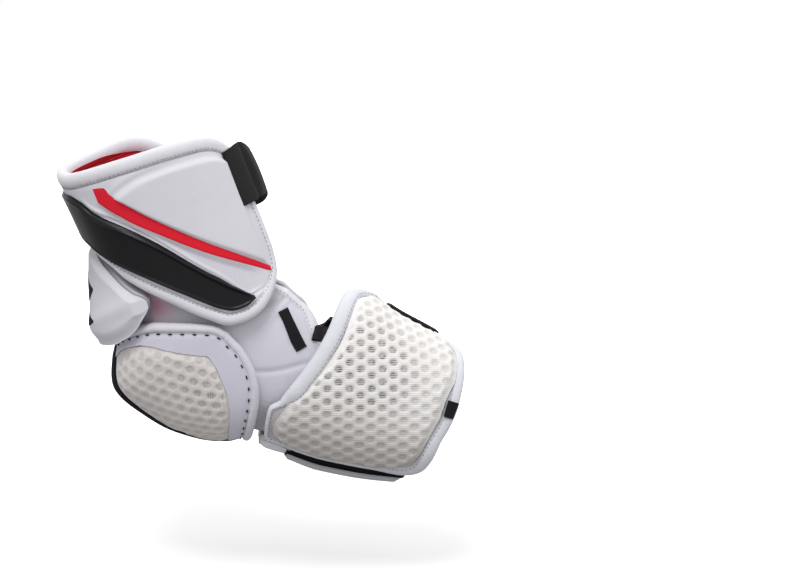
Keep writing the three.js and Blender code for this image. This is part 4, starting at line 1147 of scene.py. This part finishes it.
def openAt(at, turn):  # the hollows gape where the panel bends most
    share = shareOf(at)
    gape = np.exp(-(((turn - 68) / 34) ** 2 + ((share - 0.5 - (68 - turn) * 0.0012) / 0.24) ** 2))
    return 0.04 + 0.96 * smooth(gape * 1.5)


def paintedUndersideShadeAt(at, turn):  # painted shade, darker where it turns under
    return smooth((turn - 78) / 50) * smooth(1.25 - 0.5 * shareOf(at))


def pressedAt(at, turn):  # no hollows at the panel's edge
    return smooth((meshArea.inside(at, turn) - 0.5) / 5)


meshOuter = onShell(shellPiece["meshThickness"] + shellPiece["meshGap"], meshArea, 3.4, 6)
# "low" is painted shade where the panel turns under
panel = wall("forearm_mesh_panel", meshArea, onShell(0.3), meshOuter, 190, 150,
             {"pressed": pressedAt, "open": openAt, "low": paintedUndersideShadeAt}, cloth=measured(shellForm, 8.0, 75, 100))
dimpleTree.apply(panel, {"Pitch": shellPiece["pitch"], "Depth": shellPiece["dimpleDepth"] * mm,
                         "Angle": math.radians(74), "Stretch": 0.62, "Cloth": cloths["honeycomb"]})
dress(panel, "honeycomb", "forearm_mesh", fill=0.8)
dress(wall("forearm_loop_tag", Outline(shellPiece["tag"]), onShell(1.2), onShell(2.4), 16, 10, edge=0.3),
      "black", "forearm_tag")
spineArea = Outline(shellPiece["spine"])
spineTop = shellPiece["spineThickness"]
spineOuter = face(shellForm, spineTop, spineArea, 0.4, 3)
dress(wall("forearm_spine_cloth", spineArea, shellInner, spineOuter, 40, 60), "black", "forearm_spine",
      fill=0.6)
gatherArea = Outline(shellPiece["gathers"])


def gathers(at, turn):  # the knit is drawn together towards the elbow
    share = shareOf(at)
    return 0.9 * np.sin(turn * 0.9 + 6 * np.sin(turn * 0.11)) * smooth((0.36 - share) / 0.07)


gathered = face(shellForm, spineTop - 0.6, gatherArea, 1.6, 4, gathers)
dress(wall("forearm_spine_gathers", gatherArea, shellInner, gathered, 100, 26), "binding", fill=0.6)
pipingArea = Outline(shellPiece["piping"])
pipingTop = spineTop + arm["sewnGap"] + shellPiece["pipingHeight"]
# its binding is painted grey: painted shade
dress(wall("forearm_spine_piping_strip", pipingArea, face(shellForm, spineTop + 0.2),
           face(shellForm, pipingTop, pipingArea, 1.6, 2.2), 54, 60), "pipingPaintedShade", "forearm_spine_piping",
      fill=0.6)
sideArea = Outline(shellPiece["side"], {"startHigh": 8, "endLow": 18, "endHigh": 22},
                   shellPiece["rollWidth"] + arm["sewnGap"])


def sideRelief(at, turn):  # quilted along its edge and once along its middle
    inside = sideArea.inside(at, turn)
    return -0.9 * hill(inside - 9, 1.3) - 0.7 * hill(turn - 252, 1.6) * smooth((inside - 9) / 4)


dress(wall("side_pad_knit", sideArea, shellInner, onShell(1.2, sideArea, 1.4, 7, sideRelief), 130, 84),
      "paleKnit", "forearm_side_pad", fill=0.7)
sideFrames = rimFrames(sideArea, shellInner, onShell(0), 110, 80, shellPiece["rollWidth"], 0.9)
dress(roll("side_pad_binding", sideFrames, 16), "foreBinding", "forearm_side_roll", fill=0.8)
stitches("side_pad_stitches", seamOnRoll(sideFrames, 128), 3.2, 2.0, 0.55)
foreLiningTop = -arm["looseGap"]
foreLiningInner = face(shellForm, foreLiningTop - arm["lining"])
dress(wall("forearm_lining_knit", Outline(shellPiece["lining"]), foreLiningInner,
           face(shellForm, foreLiningTop), 90, 34), "black", "forearm_lining", fill=0.2)
print("forearm guard made")

# forearm and elbow straps
foreStrap = {
    "thickness": 2.0, "tabThickness": 2.4,
    "rise": [(-60, 0.5), (-38, 1.0), (-7, 1.3), (2, 1.7)],
    "rows": [(-50, 0.59, 0.82), (2, 0.61, 0.84)],
    "tab": [(-66, 0.62, 0.76), (-57, 0.58, 0.8), (-34, 0.575, 0.815)],
    "dip": [(-34, 0), (-20, -6), (0, -10), (20, -9), (36, -1.5), (46, 0)],
    "elbow": [(48, 0.305, 40, 0.62), (38, 0.305, 34, 0.62), (28, 0.35, 24, 0.615), (12, 0.405, 8, 0.605),
              (-12, 0.41, -14, 0.592), (-42, 0.38, -46, 0.525), (-60, 0.305, -63, 0.49),
              (-72, 0.36, -74, 0.43)],
    "elbowTip": [(-52, 0.345, -54, 0.475), (-60, 0.36, -62, 0.455), (-68, 0.385, -69, 0.415)],
    "elbowWidth": 37,
}
foreBase = shellPiece["thickness"] + arm["sewnGap"]
foreStrapArea = Outline(foreStrap["rows"])
dress(strapWall("forearm_strap_webbing", foreStrapArea, shellForm, foreStrap["rise"], foreBase,
                foreStrap["thickness"], (90, 40), (0.5, 1.6)), "strap", "forearm_strap")
foreTabArea = Outline(foreStrap["tab"])
foreTabBase = foreBase + foreStrap["thickness"] + arm["sewnGap"]
dress(strapWall("forearm_strap_hook_tab", foreTabArea, shellForm, foreStrap["rise"], foreTabBase,
                foreStrap["tabThickness"], (70, 56), (0.9, 2.4), None,
                framedTab(foreTabArea, -66, 104, 14)), "hook", "forearm_strap_tab")
elbowStrapArea = Ribbon(foreStrap["elbow"])


def boundEdge(u, v):  # a raised binding round the strap, with a stitched groove inside it
    across = np.minimum(v, 1 - v) * foreStrap["elbowWidth"]
    toEnd = np.minimum(across, (1 - u) * elbowStrapArea.length)
    return 0.55 * smooth((3.4 - toEnd) / 0.8) - 0.3 * hill(toEnd - 4.1, 0.7)


def dipped(over):
    return face(armForm, lambda at, turn: over + read(foreStrap["dip"], 1, turn))


elbowStrapTop = dipped(arm["sewnGap"] + foreStrap["thickness"])
dress(wall("elbow_strap_neoprene", elbowStrapArea, dipped(arm["sewnGap"]), elbowStrapTop, 130, 50,
           crown=boundEdge), "neoprene", "elbow_strap", fill=0.4)
dress(wall("elbow_strap_tip", Ribbon(foreStrap["elbowTip"]), face(armForm, 2.4), face(armForm, 3.5), 24, 16,
           edge=0.3), "redPrint", "elbow_strap_tab")
print("straps made")

# floor, light and camera
studio = {
    "floorZ": -0.160, "floorReach": 6.0, "above": 1.06, "below": 0.30,   # metres, and the sky's brightness
    "glow": 0.07, "farGlow": 0.85, "shadowReach": (0.3, 0.8),   # the floor is dimmer inside the first radius
    "distance": 1.36, "azimuth": 0.0, "elevation": 10.0, "focal": 85.0, "sensor": 36.0,
    "picture": (800, 576), "seat": (222, 355),   # where the photograph shows the origin, in its pixels
}


def floorFinish():  # the shadow lies on its middle
    f = Finish("floor_white", 0.9, 0.0)
    spot = f.wire("ShaderNodeTexCoord", None, None, "Object")
    distance = f.wire("ShaderNodeVectorMath", {"operation": "LENGTH"}, {0: spot}, "Value")
    near, far = studio["shadowReach"]
    lit = ((distance - near) / (far - near)).clamp()
    f.feed(f.shader, {"Base Color": (0.86, 0.86, 0.86, 1), "Emission Strength": 1.0,
                      "Emission Color": f.mix(lit, (studio["glow"],) * 3, (studio["farGlow"],) * 3)})
    return f.material


floorMesh = bpy.data.meshes.new("floor")
floorCorners = [(x * studio["floorReach"], y * studio["floorReach"], studio["floorZ"])
                for x, y in ((-1, -1), (1, -1), (1, 1), (-1, 1))]
floorMesh.from_pydata(floorCorners, [], [(0, 1, 2, 3)])
floorMesh.materials.append(floorFinish())
floor = bpy.data.objects.new("floor", floorMesh)
bpy.context.scene.collection.objects.link(floor)
floor.visible_diffuse = floor.visible_glossy = False   # the pad is lit by the studio alone

world = bpy.data.worlds.new("studio")
world.use_nodes = True
sky = Nodes(world.node_tree)
seen = sky.wire("ShaderNodeLightPath", None, None, "Is Camera Ray")
direction = sky.wire("ShaderNodeTexCoord", None, None, "Generated")
upwards = sky.wire("ShaderNodeSeparateXYZ", None, {"Vector": direction}, 2)
lighting = (upwards * 0.55 + 0.5).clamp() * (studio["above"] - studio["below"]) + studio["below"]
sky.feed(world.node_tree.nodes["Background"],
         {"Color": (1, 1, 1, 1), "Strength": seen + (1 - seen) * lighting})
bpy.context.scene.world = world
bpy.context.scene.view_settings.view_transform = "Standard"


def softLight(name, place, size, power):
    data = bpy.data.lights.new(name, "AREA")
    data.shape, data.size, data.energy = "DISK", size, power
    lamp = bpy.data.objects.new(name, data)
    lamp.location = place
    x, y, z = np.array(place) / np.linalg.norm(place)
    lamp.rotation_euler = (math.acos(z), 0, math.atan2(y, x) + math.pi / 2)
    bpy.context.scene.collection.objects.link(lamp)


softLight("key", (-0.3, -1.1, 1.7), 0.8, 17)
softLight("back", (0.4, 1.3, 1.5), 1.0, 9)


def placeCamera():  # the origin lands on its pixel without any shift
    azimuth, elevation = math.radians(studio["azimuth"]), math.radians(studio["elevation"])
    back = np.array([math.sin(azimuth) * math.cos(elevation), -math.cos(azimuth) * math.cos(elevation),
                     math.sin(elevation)])
    right = np.cross(-back, (0, 0, 1.0))
    right /= np.linalg.norm(right)
    up = np.cross(right, -back)
    width, height = studio["picture"]
    pixels = studio["focal"] / studio["sensor"] * width
    yaw = math.atan((studio["seat"][0] - width / 2) / pixels)
    pitch = math.atan((height / 2 - studio["seat"][1]) / pixels * math.cos(yaw))
    ahead = -back * math.cos(yaw) - right * math.sin(yaw)
    right = np.cross(ahead, up)
    right /= np.linalg.norm(right)
    ahead = ahead * math.cos(pitch) - up * math.sin(pitch)
    up = np.cross(right, ahead)
    data = bpy.data.cameras.new("camera")
    data.lens, data.sensor_width = studio["focal"], studio["sensor"]
    camera = bpy.data.objects.new("camera", data)
    place = back * studio["distance"]
    turned = np.stack([right, up, -ahead], 1)
    matrix = [[*turned[i], place[i]] for i in range(3)] + [[0, 0, 0, 1]]
    camera.matrix_world = Matrix([[float(x) for x in row] for row in matrix])
    bpy.context.scene.collection.objects.link(camera)
    bpy.context.scene.camera = camera


placeCamera()
print("camera and lights placed")
